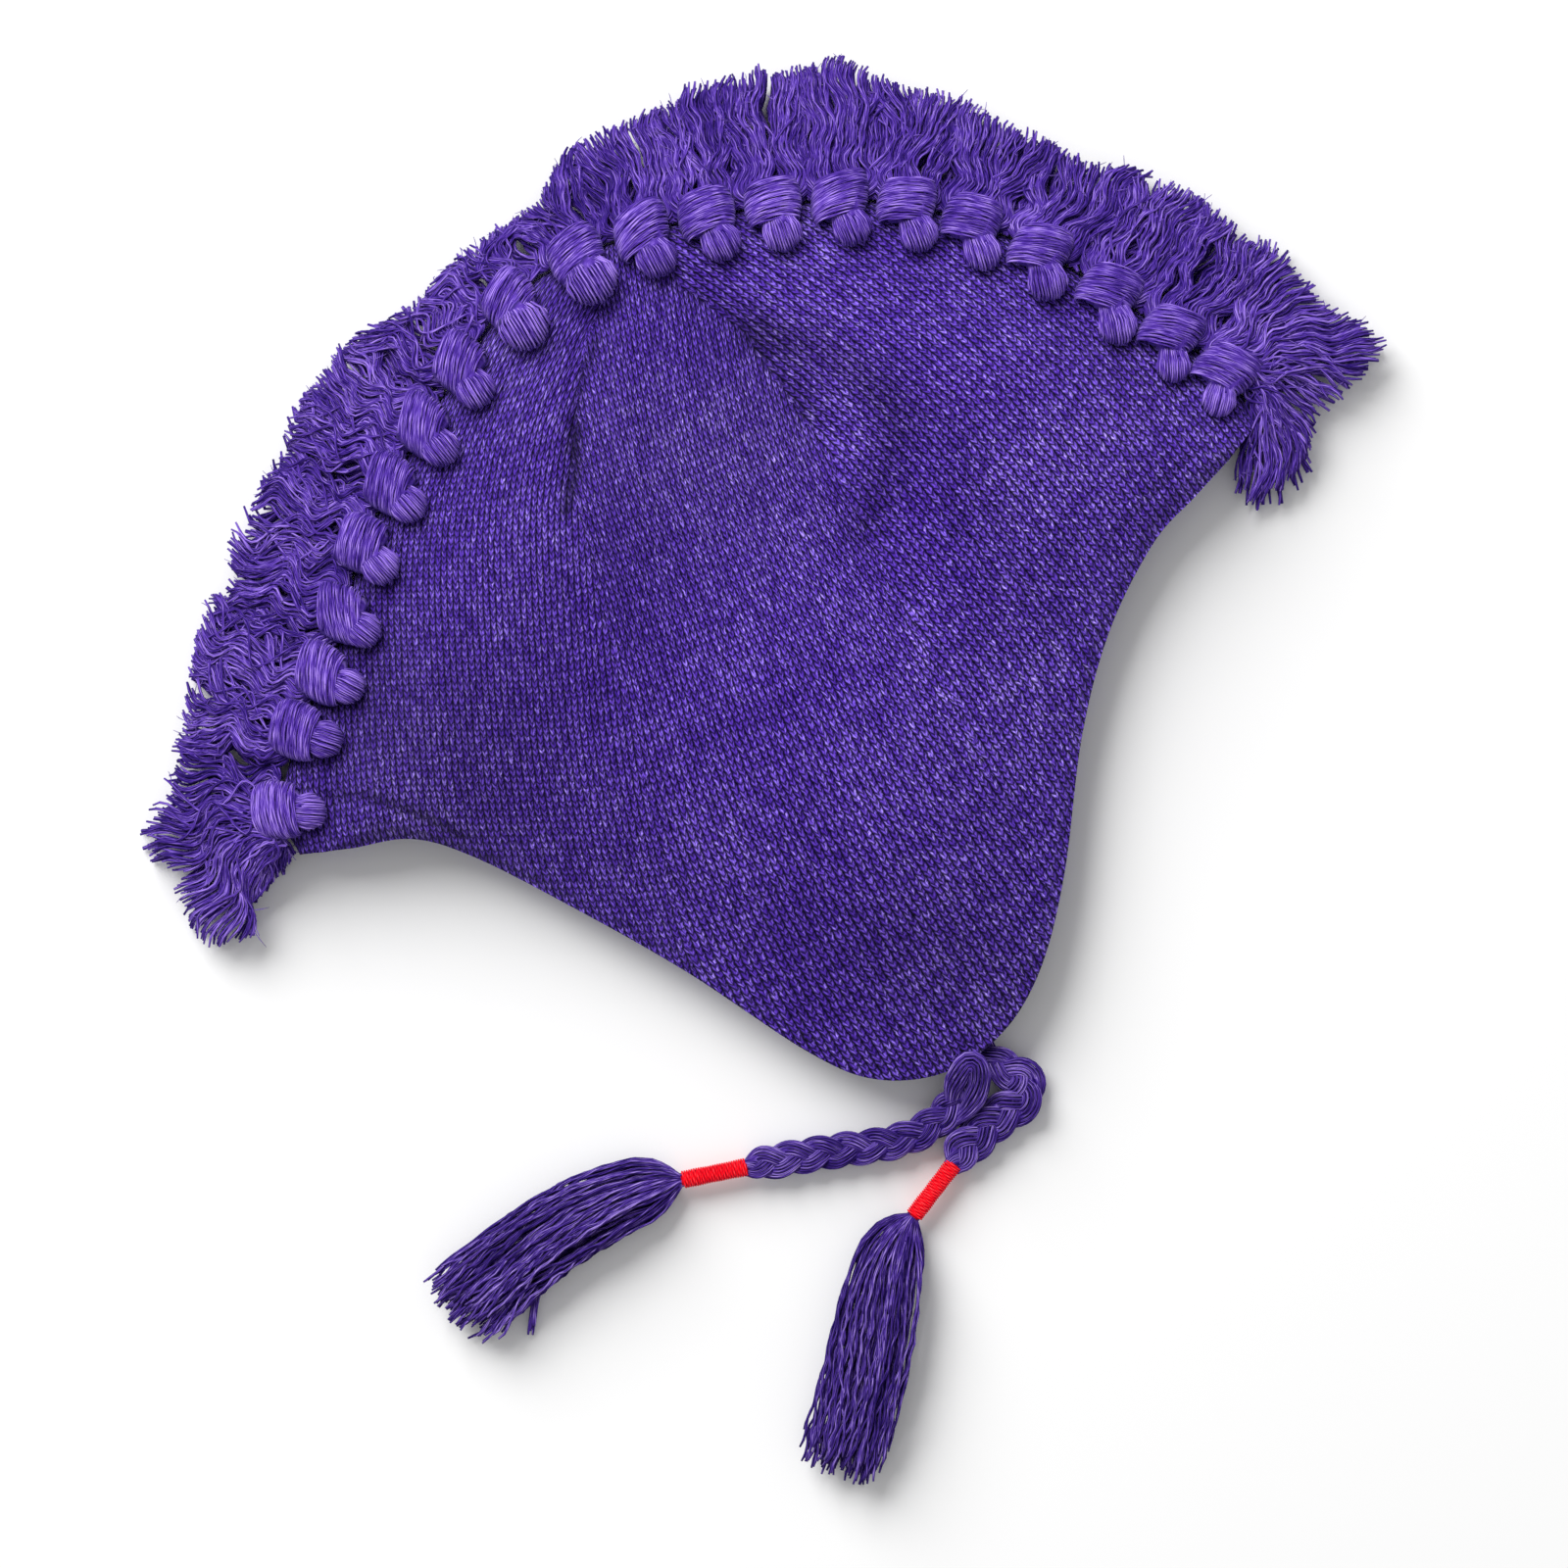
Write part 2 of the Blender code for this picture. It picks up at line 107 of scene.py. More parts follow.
# Creases and soft valleys in the near side, as lines of points in mm.
# Columns: the points, depth in mm, half width in mm.
VALLEYS = [
    ([(-8, 97), (-15, 91), (-25, 74), (-33.2, 58.4)], 2.4, 6.0),
    ([(-27, 71), (-33.5, 58)], 2.6, 1.6),
    ([(11, 93), (16, 87), (22, 76), (25.5, 58), (29, 43)], 2.4, 6.0),
    ([(15, 88), (21, 77), (24.5, 66), (27, 52)], 1.3, 1.6),
    ([(29, 45), (41, 43), (37, 21)], 1.6, 8.0),
    ([(133, 6), (112, 1.5), (98, -4.5), (86.5, -10)], 1.1, 1.7),
    ([(-122.5, 5.5), (-113, 3.3), (-104.3, -4.7), (-92, -17.3)], 1.1, 1.7),
]

# Painted shade in the knit's colour: dark lines in the darts and near the hem at both sides, soft painted
# shadows beside the darts, and broad darker areas over the left, the flap and the right. Columns: points in
# mm, half width in mm, darkness.
PAINTED_SHADE_LINES = [
    ([(-13, 89), (-20, 82), (-27, 72), (-30.5, 65)], 1.2, 0.6),
    ([(-27, 69), (-31, 60), (-34.6, 55), (-37.5, 50.5)], 1.4, 0.8),
    ([(12, 92), (17, 86), (22, 77), (25.5, 62), (28, 50)], 1.3, 0.42),
    ([(16, 92), (22, 85), (27, 76), (30, 62), (31, 50)], 4.0, 0.22),
    ([(52, 48), (60, 30), (58, 12)], 9.0, 0.14),
    ([(25.5, 75), (37, 66), (45.5, 54), (48.6, 41), (41, 27.6), (31, 18.4)], 6.0, 0.42),
    ([(-112, 10), (-84, -10), (-50, -52), (-10, -92), (8, -104)], 34.0, 0.29),
    ([(20, -60), (12, -96)], 26.0, 0.12),
    ([(-100, 40), (-88, 11), (-56, 25), (-14, 55), (9, 51)], 30.0, 0.32),
    ([(-122, 8), (-112, 4.5), (-103, -3.5), (-93, -15)], 1.3, 0.3),
    ([(128, 3), (112, -0.5), (98, -6.5), (86, -13)], 1.3, 0.3),
    ([(100, 15), (78, 20), (60, -22), (50, -46), (30, -90), (8, -84)], 24.0, 0.2),
]

# Stitches: how wide and how tall they are. Their columns lean one way in each of three fields.
LEFT_WALE = 1.65 * MM
MIDDLE_WALE = 1.68 * MM
RIGHT_WALE = 1.95 * MM
COURSE = 1.82 * MM
# How steeply the two legs of a stitch slope, and how deep the grooves between them are
LEG_SLOPE = 0.72
STITCH_RELIEF = 0.7 * MM
# Columns: height in mm, lean in degrees from upright, degrees more for each mm further across
LEFT_LEAN = [
    (-120, 4, 0),
    (-47, 6, 0),
    (-20, 12, 0),
    (5, 17, 0),
    (45, 20, 0),
    (65, 31, 0),
    (85, 45, 0),
    (110, 52, 0),
]
MIDDLE_LEAN = [
    (-120, -10, -0.05),
    (-90, -10, -0.05),
    (-65, -8.5, -0.15),
    (-45, -6, -0.17),
    (-10, -2, -0.28),
    (20, -2, -0.28),
    (40, 1, -0.1),
    (62, 9, 0),
    (100, 14, 0),
]
RIGHT_LEAN = [
    (-120, -9, 0),
    (-30, -11, 0),
    (-15, -16, 0),
    (20, -16, 0),
    (35, -20, 0),
    (54, -26, 0),
    (90, -32, 0),
]
# How the rows of stitches rise. Columns: place across in mm, rise in degrees
ROW_RISE = [
    (-110, -12),
    (-95, -22),
    (-60, -20),
    (-47, -11),
    (-33, -3),
    (-17, 0),
    (0, 4),
    (15, 9),
    (30, 14),
    (50, 19),
    (90, 22),
]
# Where the three fields meet. Columns: height and place across in mm
LEFT_SEAM = [(-120, -60), (-61, -51), (58, -33), (74, -25), (91, -15), (97, -8)]
RIGHT_SEAM = [(-120, 42), (-20, 34), (43, 29), (58, 25.5), (76, 22), (87, 16), (93, 11)]

# The knots
BALL_RADIUS = 4.6 * MM
BAND_HALF_LENGTH = 7.2 * MM
BAND_HALF_DEPTH = 5.2 * MM
BAND_HALF_REACH = 7.0 * MM
FRINGE_THICKNESS = 13 * MM
GAP = 0.3 * MM
# Columns: place on the ridge, ball size, lean in degrees
KNOTS = [
    (0.034, 0.92, 14),
    (0.090, 0.96, 22),
    (0.133, 0.92, 22),
    (0.176, 0.92, 18),
    (0.226, 0.98, 8),
    (0.271, 0.96, 15),
    (0.317, 1.00, 12),
    (0.366, 1.04, 8),
    (0.421, 1.36, 8),
    (0.477, 1.36, 10),
    (0.525, 1.10, 6),
    (0.571, 1.02, 6),
    (0.617, 1.04, -4),
    (0.663, 0.98, 5),
    (0.709, 0.98, 8),
    (0.755, 0.96, 10),
    (0.806, 1.02, 8),
    (0.861, 1.02, 18),
    (0.912, 0.88, 12),
    (0.958, 0.86, 0),
]
ROOT_SPREAD = 13 * MM
# Knots with this index or a lower one are at the front, where the yarns are curlier and lighter
LAST_FRONT_KNOT = 8
# Balls larger than this have lighter yarns
BIG_BALL = 1.2
# Where on the fold the band and the ball sit, in degrees: 90 at the near side, 0 at the ridge
BAND_ANGLE = 38
BALL_ANGLE = 69
BALL_YARNS = 21
BALL_YARN_RADIUS = 0.32 * MM
BAND_YARNS = 23
HAIR_RADIUS = 0.11 * MM
# The layers of yarns in a fringe. Columns: how high it lies (0 to 1), number of yarns, points in each
FRINGE_LAYERS = [
    (1.0, 34, 26),
    (0.88, 31, 26),
    (0.72, 24, 26),
    (0.42, 16, 14),
    (0.08, 12, 14),
]
# Layers above the first height are seen, and those above the second have stray hairs
SEEN_LAYERS = 0.5
HAIRY_LAYERS = 0.8

# Where the cut yarns end, in mm, from the front end of the fringe to its back end
FRINGE_EDGE = [
    (-136, -3), (-141, -6), (-151, -12), (-157, -19), (-163, -19), (-166, -15), (-167, -4), (-165, 3),
    (-171, 10), (-169, 17), (-161, 24), (-152, 34), (-146, 43), (-140, 54), (-134, 62), (-127, 64),
    (-122, 69), (-117, 77), (-108, 86), (-99, 92), (-93, 101), (-85, 107), (-77, 111), (-67, 114),
    (-54, 115), (-45, 119), (-34, 123), (-23, 126), (-12, 128), (-5, 136), (8, 137), (21, 138),
    (32, 139), (42, 137), (53, 136), (64, 135), (74, 128), (84, 120), (94, 113), (101, 104),
    (108, 96), (116, 88), (124, 80), (133, 74), (140, 67), (145, 59), (149, 51), (156, 43),
    (160, 28), (168, 18), (170, 11), (164, 8), (156, 4), (147, 0), (140, -11), (135, -14),
    (126, -15), (122, -7),
]

# The ties
PLAIT_PITCH = 22 * MM
# A braid's strands: how far they swing aside and rise, and their own half width and half height
STRAND_SWING = 2.5 * MM
STRAND_RISE = 1.15 * MM
STRAND_HALF_WIDTH = 1.9 * MM
STRAND_HALF_HEIGHT = 1.15 * MM
LOOP_HALF_WIDTH = 2.6 * MM
LOOP_HALF_HEIGHT = 1.4 * MM
# The yarns of a strand lie in rings. Columns: size of the ring, number of yarns
BRAID_RINGS = [(0.5, 4), (1.0, 14)]
LOOP_RINGS = [(0.5, 5), (1.0, 16)]
BRAID_YARN_RADIUS = 0.34 * MM
LOOP_YARN_RADIUS = 0.36 * MM
WRAP_LENGTH = 17.2 * MM
WRAP_DIAMETER = 4.7 * MM
THREAD = 0.64 * MM
TASSEL_WIDTH = 21 * MM
TASSEL_THICKNESS = 13 * MM
TASSEL_LENGTH = 67 * MM
TASSEL_YARNS = 175
TASSEL_YARN_RADIUS = 0.38 * MM
STRAY_YARNS = 7
STRAY_YARN_RADIUS = 0.41 * MM
# The near tie's route, in mm
NEAR_TIE = [
    (3.0, -118.8, 10.4),
    (1.0, -122.0, 8.0),
    (-3.8, -126.2, 5.2),
    (-10.6, -129.0, 4.1),
    (-18.0, -129.8, 4.1),
    (-26.0, -128.6, 4.1),
    (-35.0, -126.2, 4.1),
    (-45.0, -123.8, 4.1),
    (-52.0, -122.3, 4.1),
    (-58.6, -121.0, 4.1),
]
# The far braid as it is shown: folded over on itself at its corner
FAR_BRAID = [
    (6.0, -104.2, 4.1),
    (6.4, -111.0, 4.1),
    (7.8, -117.8, 4.1),
    (11.3, -122.6, 4.1),
    (14.9, -126.9, 4.1),
    (14.2, -130.9, 4.1),
    (10.0, -133.0, 4.1),
    (4.4, -134.0, 4.1),
    (-3.3, -136.9, 4.1),
    (-9.4, -140.3, 4.1),
]
# Where each braid comes out of the knit, before its route begins
NEAR_LEAD_IN = [(4.4, -116.6, 12.6), (3.8, -117.6, 11.8)]
FAR_LEAD_IN = [(5.8, -102.6, 4.1)]
# The strand of the near tie that loops over the knit's edge
TIE_LOOP = [
    (-5.4, -127.6, 4.8),
    (-2.6, -122.4, 9.0),
    (0.8, -118.9, 13.2),
    (3.6, -117.3, 15.2),
    (5.2, -118.8, 15.0),
    (4.6, -122.4, 12.8),
    (2.2, -126.0, 10.2),
    (-1.4, -129.0, 7.6),
    (-6.0, -130.8, 5.2),
]
# The lock that hangs out of the near tassel
NEAR_STRAY = [(-96, -117, 8), (-112, -121, 5), (-121, -130, 2.5), (-127.8, -141, 1)]
# How far a tassel has turned. Columns: share of its length, degrees
NEAR_TASSEL_TURN = [(0.0, 0), (0.12, 5), (0.3, 14), (0.5, 21), (0.7, 28), (1.0, 31)]
FAR_TASSEL_TURN = [(0.0, 0), (0.1, 12), (0.25, 25), (0.5, 27), (1.0, 22)]
# Columns: share of the tassel's length, half its width and half its thickness there as shares of the whole
TASSEL_SHAPE = [
    (0.0, 0.08, 0.14),
    (0.035, 0.22, 0.28),
    (0.08, 0.34, 0.38),
    (0.15, 0.43, 0.44),
    (0.35, 0.49, 0.48),
    (0.7, 0.52, 0.5),
    (1.0, 0.57, 0.42),
]

# The photograph's frame: its centre in the hat's frame, its width, and how far the hat is turned in it
PHOTO_CENTRE = (-12.7 * MM, -34.0 * MM)
PHOTO_WIDTH = 400 * MM
PHOTO_TURN = -22.5
CAMERA_HEIGHT = 1.6
SENSOR = 36
# Lamps. Columns: name, metres to the right in the picture, up it and above the table, size, power
LAMPS = [
    ("window", -0.25, 0.55, 1.25, 0.8, 26.5),
    ("low_window", -1.55, 2.1, 1.75, 2.6, 137),
]
ROOM_LIGHT = 0.44


def smooth(share):
    """0 to 1, eased at both ends."""
    share = min(max(share, 0.0), 1.0)
    return share * share * (3 - 2 * share)


def stand_in(obj, node):
    """This piece is shown in place of the part's plain one."""
    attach(obj, "root")
    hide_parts(node)


def unit(v):
    return v / np.maximum(np.linalg.norm(v, axis=-1, keepdims=True), 1e-12)


def lengths_between(line):
    return np.linalg.norm(np.diff(line, axis=0), axis=1)


def run_along(line):
    """How far along the line each of its points is."""
    return np.concatenate([[0], np.cumsum(lengths_between(line))])


def ways_off(line, across=(0, 0, 1)):
    """The ways aside and up from the line at each of its points."""
    ahead = unit(np.gradient(line, axis=0))
    side = unit(np.cross(np.array(across, float), ahead))
    return side, np.cross(ahead, side)


def curve_through(points, steps=16):
    """A fine line that passes smoothly through all the points."""
    p = np.array(points, float)
    p = np.vstack([2 * p[0] - p[1], p, 2 * p[-1] - p[-2]])
    t = (np.arange(steps) / steps)[:, None]
    line = []
    for a, b, c, d in zip(p, p[1:], p[2:], p[3:]):
        square = (2 * a - 5 * b + 4 * c - d) * t**2
        cube = (3 * b - a - 3 * c + d) * t**3
        line.append((2 * b + (c - a) * t + square + cube) / 2)
    return np.vstack([*line, p[-2]])


def at(line, shares):
    """The points at shares of the line's length."""
    run = run_along(line)
    wanted = np.clip(shares, 0, 1) * run[-1]
    return np.stack([np.interp(wanted, run, line[:, k]) for k in range(line.shape[1])], axis=-1)


def read_table(table, shares):
    """The other columns of a table, read between its rows at values of the first column."""
    rows = np.array(table, float)
    return [np.interp(shares, rows[:, 0], rows[:, k]) for k in range(1, rows.shape[1])]


RIDGE_LINE = curve_through([(x * HALF_WIDTH, y * CROWN_RISE, 0) for x, y in RIDGE])
HEM_LINE = curve_through([(x * HALF_WIDTH, y * FLAP_DROP, 0) for x, y in HEM])
RIDGE_LENGTH = lengths_between(RIDGE_LINE).sum()


def nearness(x, y, points, wide):
    """1 on a line of points in mm, falling to 0 away from it."""
    line = np.array(points, float) * MM
    away = np.full_like(x, 1.0)
    for a, b in zip(line, line[1:]):
        run = b - a
        t = np.clip(((x - a[0]) * run[0] + (y - a[1]) * run[1]) / (run @ run), 0, 1)
        away = np.minimum(away, np.hypot(x - a[0] - run[0] * t, y - a[1] - run[1] * t))
    return np.exp(-((away / (wide * MM)) ** 2))


def valley_depth(x, y):
    """How far the creases and valleys lower the near side at places in plan."""
    return sum(deep * MM * nearness(x, y, points, wide) for points, deep, wide in VALLEYS)


def fold_share(length):
    """The share of the way from ridge to hem that the fold takes up."""
    return min(FOLD_WIDTH / length, MOST_FOLD_SHARE)


def near_height(across, down, length):
    """The height of the near side, before its creases: low at the rim, domed inside it."""
    to_hem = (1 - down) * length
    to_corner = min(across, 1 - across) * RIDGE_LENGTH
    rolled = 1 - smooth(min(to_hem, to_corner) / RIM_ROLL_WIDTH)
    past_fold = max(down - fold_share(length), 0) / (1 - fold_share(length))
    dome = (1 - (2 * across - 1) ** 4) * max(math.sin(math.pi * past_fold**0.8), 0) ** 1.3
    return RIM_TOP + RIM_ROLL * (1 - rolled) + DOME_RISE * dome


def fold_point(across, angle):
    """A point of the folded ridge and its outward normal: 90 degrees at the near side, 0 at the ridge."""
    ridge, hem = at(RIDGE_LINE, across), at(HEM_LINE, across)
    length = np.linalg.norm(hem - ridge)
    inward = (hem - ridge) / length
    width = fold_share(length) * length
    half_height = near_height(across, fold_share(length), length) / 2
    turn = math.radians(angle)
    point = ridge + inward * width * (1 - math.cos(turn))
    point[2] = half_height * (1 + math.sin(turn))
    normal = inward * (-math.cos(turn) / width) + np.array((0, 0, math.sin(turn) / half_height))
    return point, unit(normal)


def ridge_normal(share):
    """The way straight out from the ridge, in plan."""
    run = at(RIDGE_LINE, share + 0.004) - at(RIDGE_LINE, share - 0.004)
    return unit(np.array((-run[1], run[0], 0)))


def new_mesh(name, points, quads, extra=()):
    """A mesh from points, four-cornered faces and a few more faces."""
    mesh = bpy.data.meshes.new(name)
    mesh.from_pydata(points.tolist(), [], quads.tolist() + [list(face) for face in extra])
    mesh.shade_smooth()
    obj = bpy.data.objects.new(name, mesh)
    bpy.context.scene.collection.objects.link(obj)
    return obj


class Yarns:
    """Many round yarns gathered into one mesh, with a tone for each and a twist along it."""

    def __init__(self, sides=4, twist=2.4 * MM):
        self.sides = sides
        self.twist = twist
        self.points = []
        self.quads = []
        self.caps = []
        self.along = []
        self.tones = []
        self.count = 0

    def add(self, path, radius, tone, across=(0, 0, 1), end=0.55):
        path = np.asarray(path, float)
        count = len(path)
        side, up = ways_off(path, across)
        turn = np.arange(self.sides) * 2 * math.pi / self.sides + 0.4
        radii = np.full(count, radius, float)
        radii[0] *= end
        radii[-1] *= end
        ring = side[:, None] * np.cos(turn)[None, :, None] + up[:, None] * np.sin(turn)[None, :, None]
        self.points.append((path[:, None] + ring * radii[:, None, None]).reshape(-1, 3))
        i, j = np.meshgrid(np.arange(count - 1), np.arange(self.sides), indexing="ij")
        k = (j + 1) % self.sides
        base = self.count
        near, far = i * self.sides, (i + 1) * self.sides
        quads = np.stack([near + j, near + k, far + k, far + j], -1)
        self.quads.append(base + quads.reshape(-1, 4))
        self.caps.append([base + n for n in range(self.sides)][::-1])
        self.caps.append([base + (count - 1) * self.sides + n for n in range(self.sides)])
        run = run_along(path) / self.twist
        u = np.stack([run[i], run[i], run[i + 1], run[i + 1]], -1)
        v = np.stack([j, j + 1, j + 1, j], -1) / self.sides
        self.along.append(np.stack([u, v], -1).reshape(-1, 2))
        self.tones.append(np.full(count * self.sides, tone))
        self.count += count * self.sides

    def build(self, name, material):
        quads = np.vstack(self.quads)
        obj = new_mesh(name, np.vstack(self.points), quads, self.caps)
        uv = np.zeros((len(quads) * 4 + len(self.caps) * self.sides, 2))
        uv[: len(quads) * 4] = np.vstack(self.along)
        obj.data.uv_layers.new(name="UVMap").data.foreach_set("uv", uv.ravel())
        tone = obj.data.attributes.new("tone", "FLOAT", "POINT")
        tone.data.foreach_set("value", np.concatenate(self.tones))
        obj.data.materials.append(material)
        return obj


class Number:
    """A number in a material, worked out by Math nodes."""

    def __init__(self, tree, socket):
        self.tree = tree
        self.socket = socket

    def op(self, operation, *others):
        node = self.tree.nodes.new("ShaderNodeMath")
        node.operation = operation
        for slot, value in zip(node.inputs, (self, *others)):
            if isinstance(value, Number):
                self.tree.links.new(value.socket, slot)
            else:
                slot.default_value = value
        return Number(self.tree, node.outputs[0])

    def __add__(self, other):
        return self.op("ADD", other)

    def __sub__(self, other):
        return self.op("SUBTRACT", other)

    def __mul__(self, other):
        return self.op("MULTIPLY", other)

    def __pow__(self, other):
        return self.op("POWER", other)


class Material:
    """A Principled material that is built up from its texture places."""

    def __init__(self, name, roughness):
        self.made = bpy.data.materials.new(name)
        self.made.use_nodes = True
        self.tree = self.made.node_tree
        self.shader = self.tree.nodes["Principled BSDF"]
        self.shader.inputs["Roughness"].default_value = roughness
        self.shader.inputs["Specular IOR Level"].default_value = 0.06

    def node(self, kind, **settings):
        node = self.tree.nodes.new(kind)
        for key, value in settings.items():
            setattr(node, key, value)
        return node

    def link(self, source, target):
        self.tree.links.new(source.socket if isinstance(source, Number) else source, target)

    def places(self):
        """The two texture numbers of the UV map."""
        split = self.node("ShaderNodeSeparateXYZ")
        self.link(self.node("ShaderNodeTexCoord").outputs["UV"], split.inputs[0])
        return Number(self.tree, split.outputs[0]), Number(self.tree, split.outputs[1])

    def place(self, x, y, z=0.0):
        join = self.node("ShaderNodeCombineXYZ")
        for slot, value in zip(join.inputs, (x, y, z)):
            if isinstance(value, Number):
                self.link(value, slot)
            else:
                slot.default_value = value
        return join.outputs[0]

    def noise(self, where, scale, detail=2.0):
        node = self.node("ShaderNodeTexNoise")
        node.inputs["Scale"].default_value = scale
        node.inputs["Detail"].default_value = detail
        self.link(where, node.inputs["Vector"])
        return Number(self.tree, node.outputs["Fac"])

    def speckle(self, where):
        node = self.node("ShaderNodeTexWhiteNoise", noise_dimensions="3D")
        self.link(where, node.inputs["Vector"])
        return Number(self.tree, node.outputs["Value"])

    def attribute(self, name):
        return Number(self.tree, self.node("ShaderNodeAttribute", attribute_name=name).outputs["Fac"])

    def object_place(self):
        return self.node("ShaderNodeTexCoord").outputs["Object"]

    def ramp(self, number, stops):
        node = self.node("ShaderNodeValToRGB")
        ramp = node.color_ramp
        while len(ramp.elements) < len(stops):
            ramp.elements.new(0.5)
        for element, (position, colour) in zip(ramp.elements, stops):
            element.position = position
            element.color = (*colour, 1)
        self.link(number, node.inputs[0])
        return node.outputs[0]

    def shade(self, colour, factor):
        """The colour times a number."""
        node = self.node("ShaderNodeVectorMath", operation="SCALE")
        self.link(colour, node.inputs[0])
        self.link(factor, node.inputs["Scale"])
        return node.outputs[0]

    def finish(self, colour, height, relief, sheen):
        bump = self.node("ShaderNodeBump")
        bump.inputs["Distance"].default_value = relief
        self.link(height, bump.inputs["Height"])
        self.link(colour, self.shader.inputs["Base Color"])
        self.link(bump.outputs[0], self.shader.inputs["Normal"])
        self.shader.inputs["Sheen Weight"].default_value = sheen
        self.shader.inputs["Sheen Roughness"].default_value = 0.45
        self.shader.inputs["Sheen Tint"].default_value = (0.5, 0.38, 1.0, 1)
        return self.made


def linear(r, g, b):
    """A colour as light from its usual 0 to 255 values."""
    return tuple((c / 255 / 12.92) if c < 10 else ((c / 255 + 0.055) / 1.055) ** 2.4 for c in (r, g, b))


def knit_material():
    """Plain knitting: two slanted legs to a stitch, flecked yarn, with painted shade in the grooves between
    the legs and at their joints.
    """
    made = Material("purple_knit", 0.9)
    u, v = made.places()
    wobble = made.noise(made.place(u * 0.5, v * 0.5), 1.0, 2.0) - 0.5
    uneven = made.noise(made.place(u * 1.7, v * 1.7, 4.0), 1.0, 1.0) - 0.5
    u = u + wobble * 0.5 + uneven * 0.34
    v = v + wobble * 0.8 - uneven * 0.5
    from_middle = ((u.op("FRACT") - 0.5).op("ABSOLUTE")) * 2
    slanted = v - from_middle * LEG_SLOPE
    from_leg = (from_middle - 0.33) * 1.58
    leg = (from_leg * from_leg * -1 + 1).op("MAXIMUM", 0.0)
    joint = ((slanted.op("FRACT") * 2 - 1).op("ABSOLUTE")) ** 1.7
    height = leg * (joint * -0.84 + 1)
    stitch = made.speckle(made.place(u.op("FLOOR"), slanted.op("FLOOR"), (u * 2).op("FLOOR")))
    fibre = made.noise(made.place(u * 6.5, slanted * 1.1, 0.3), 1.0, 3.0)
    patch = made.noise(made.object_place(), 26.0, 3.0)
    tone = stitch * 0.26 + fibre * 0.9 + patch * 0.36 - 0.28
    stops = [
        (0.22, linear(44, 17, 112)),
        (0.45, linear(75, 45, 152)),
        (0.62, linear(107, 79, 186)),
        (0.85, linear(170, 148, 234)),
    ]
    colour = made.ramp(tone, stops)
    # Painted shade along the dart and hem lines and over broad areas darkens the knit's colour here.
    shadow = made.attribute("painted_shade") * -0.8 + 1
    # The colour also darkens where the stitch height is low, between the legs and at their joints: painted
    # shade.
    colour = made.shade(colour, ((height**1.3) * 1.82 + 0.02) * shadow)
    return made.finish(colour, height + fibre * 0.2, STITCH_RELIEF, 0.06)


def yarn_material(name, dark, middle, light, relief=0.14 * MM, plies=3.0, sheen=0.1):
    """Loose yarn: fine fibres run along it, and the tone changes a little from yarn to yarn."""
    made = Material(name, 0.95)
    u, v = made.places()
    tone = made.attribute("tone")
    ply = ((u * 0.3 + v * plies) * 2 * math.pi).op("SINE")
    fibre = made.noise(made.place(u * 0.55, v * 7, tone * 40), 1.0, 3.0)
    patch = made.noise(made.object_place(), 60.0, 2.0)
    # The ply's twist makes the colour darker in its grooves: painted shade.
    level = tone * 0.36 + fibre * 1.05 + patch * 0.3 + ply * 0.12 - 0.41
    colour = made.ramp(level, [(0.2, linear(*dark)), (0.5, linear(*middle)), (0.85, linear(*light))])
    return made.finish(colour, ply * 0.3 + fibre * 0.5, relief, sheen)


def wale_places(x, y, leans, wale):
    """Places counted in stitches, across and up. The columns lean and fan out as the table says."""
    heights = np.linspace(-130, 120, 251)
    lean, fan = read_table(leans, heights)
    spread = np.exp(np.cumsum(np.radians(fan)))
    spread /= np.interp(-20, heights, spread)
    shift = spread * np.cumsum(np.tan(np.radians(lean)) / spread)
    column = (x / MM - np.interp(y / MM, heights, shift)) / np.interp(y / MM, heights, spread)
    places = np.linspace(-150, 150, 301)
    rise = np.cumsum(np.tan(np.radians(read_table(ROW_RISE, places)[0])))
    row = y / MM - np.interp(x / MM, places, rise)
    return np.stack([column / (wale / MM), row / (COURSE / MM)], -1)


def knit_section(across):
    """One section of the wall, near hem to far hem: its points, and their places with the knit laid flat."""
    ridge, hem = at(RIDGE_LINE, across), at(HEM_LINE, across)
    length = np.linalg.norm(hem - ridge)
    inward = (hem - ridge) / length
    fold = fold_share(length)
    rows = []
    plan = []
    for row in range(NEAR_ROWS):
        down = 1 + (fold - 1) * row / NEAR_ROWS
        point = ridge + (hem - ridge) * down
        plan.append(point[:2].copy())
        point[2] = near_height(across, down, length)
        rows.append(point)
    edge = ridge + (hem - ridge) * fold
    folds = np.array([fold_point(across, 90 - 180 * row / FOLD_ROWS)[0] for row in range(FOLD_ROWS + 1)])
    arc = run_along(folds)
    arc = np.minimum(arc, arc[-1] - arc)
    for point, run in zip(folds, arc):
        rows.append(point)
        plan.append((edge - inward * run)[:2])
    flap = math.exp(-(((across - 0.5) / 0.09) ** 2))
    far_end = 1 - (FAR_RIM_INSET + FAR_FLAP_SHORT * flap) / length
    for row in range(1, FAR_ROWS + 1):
        point = ridge + (hem - ridge) * (fold + (far_end - fold) * row / FAR_ROWS)
        plan.append(point[:2].copy())
        rows.append(point)
    return rows, plan


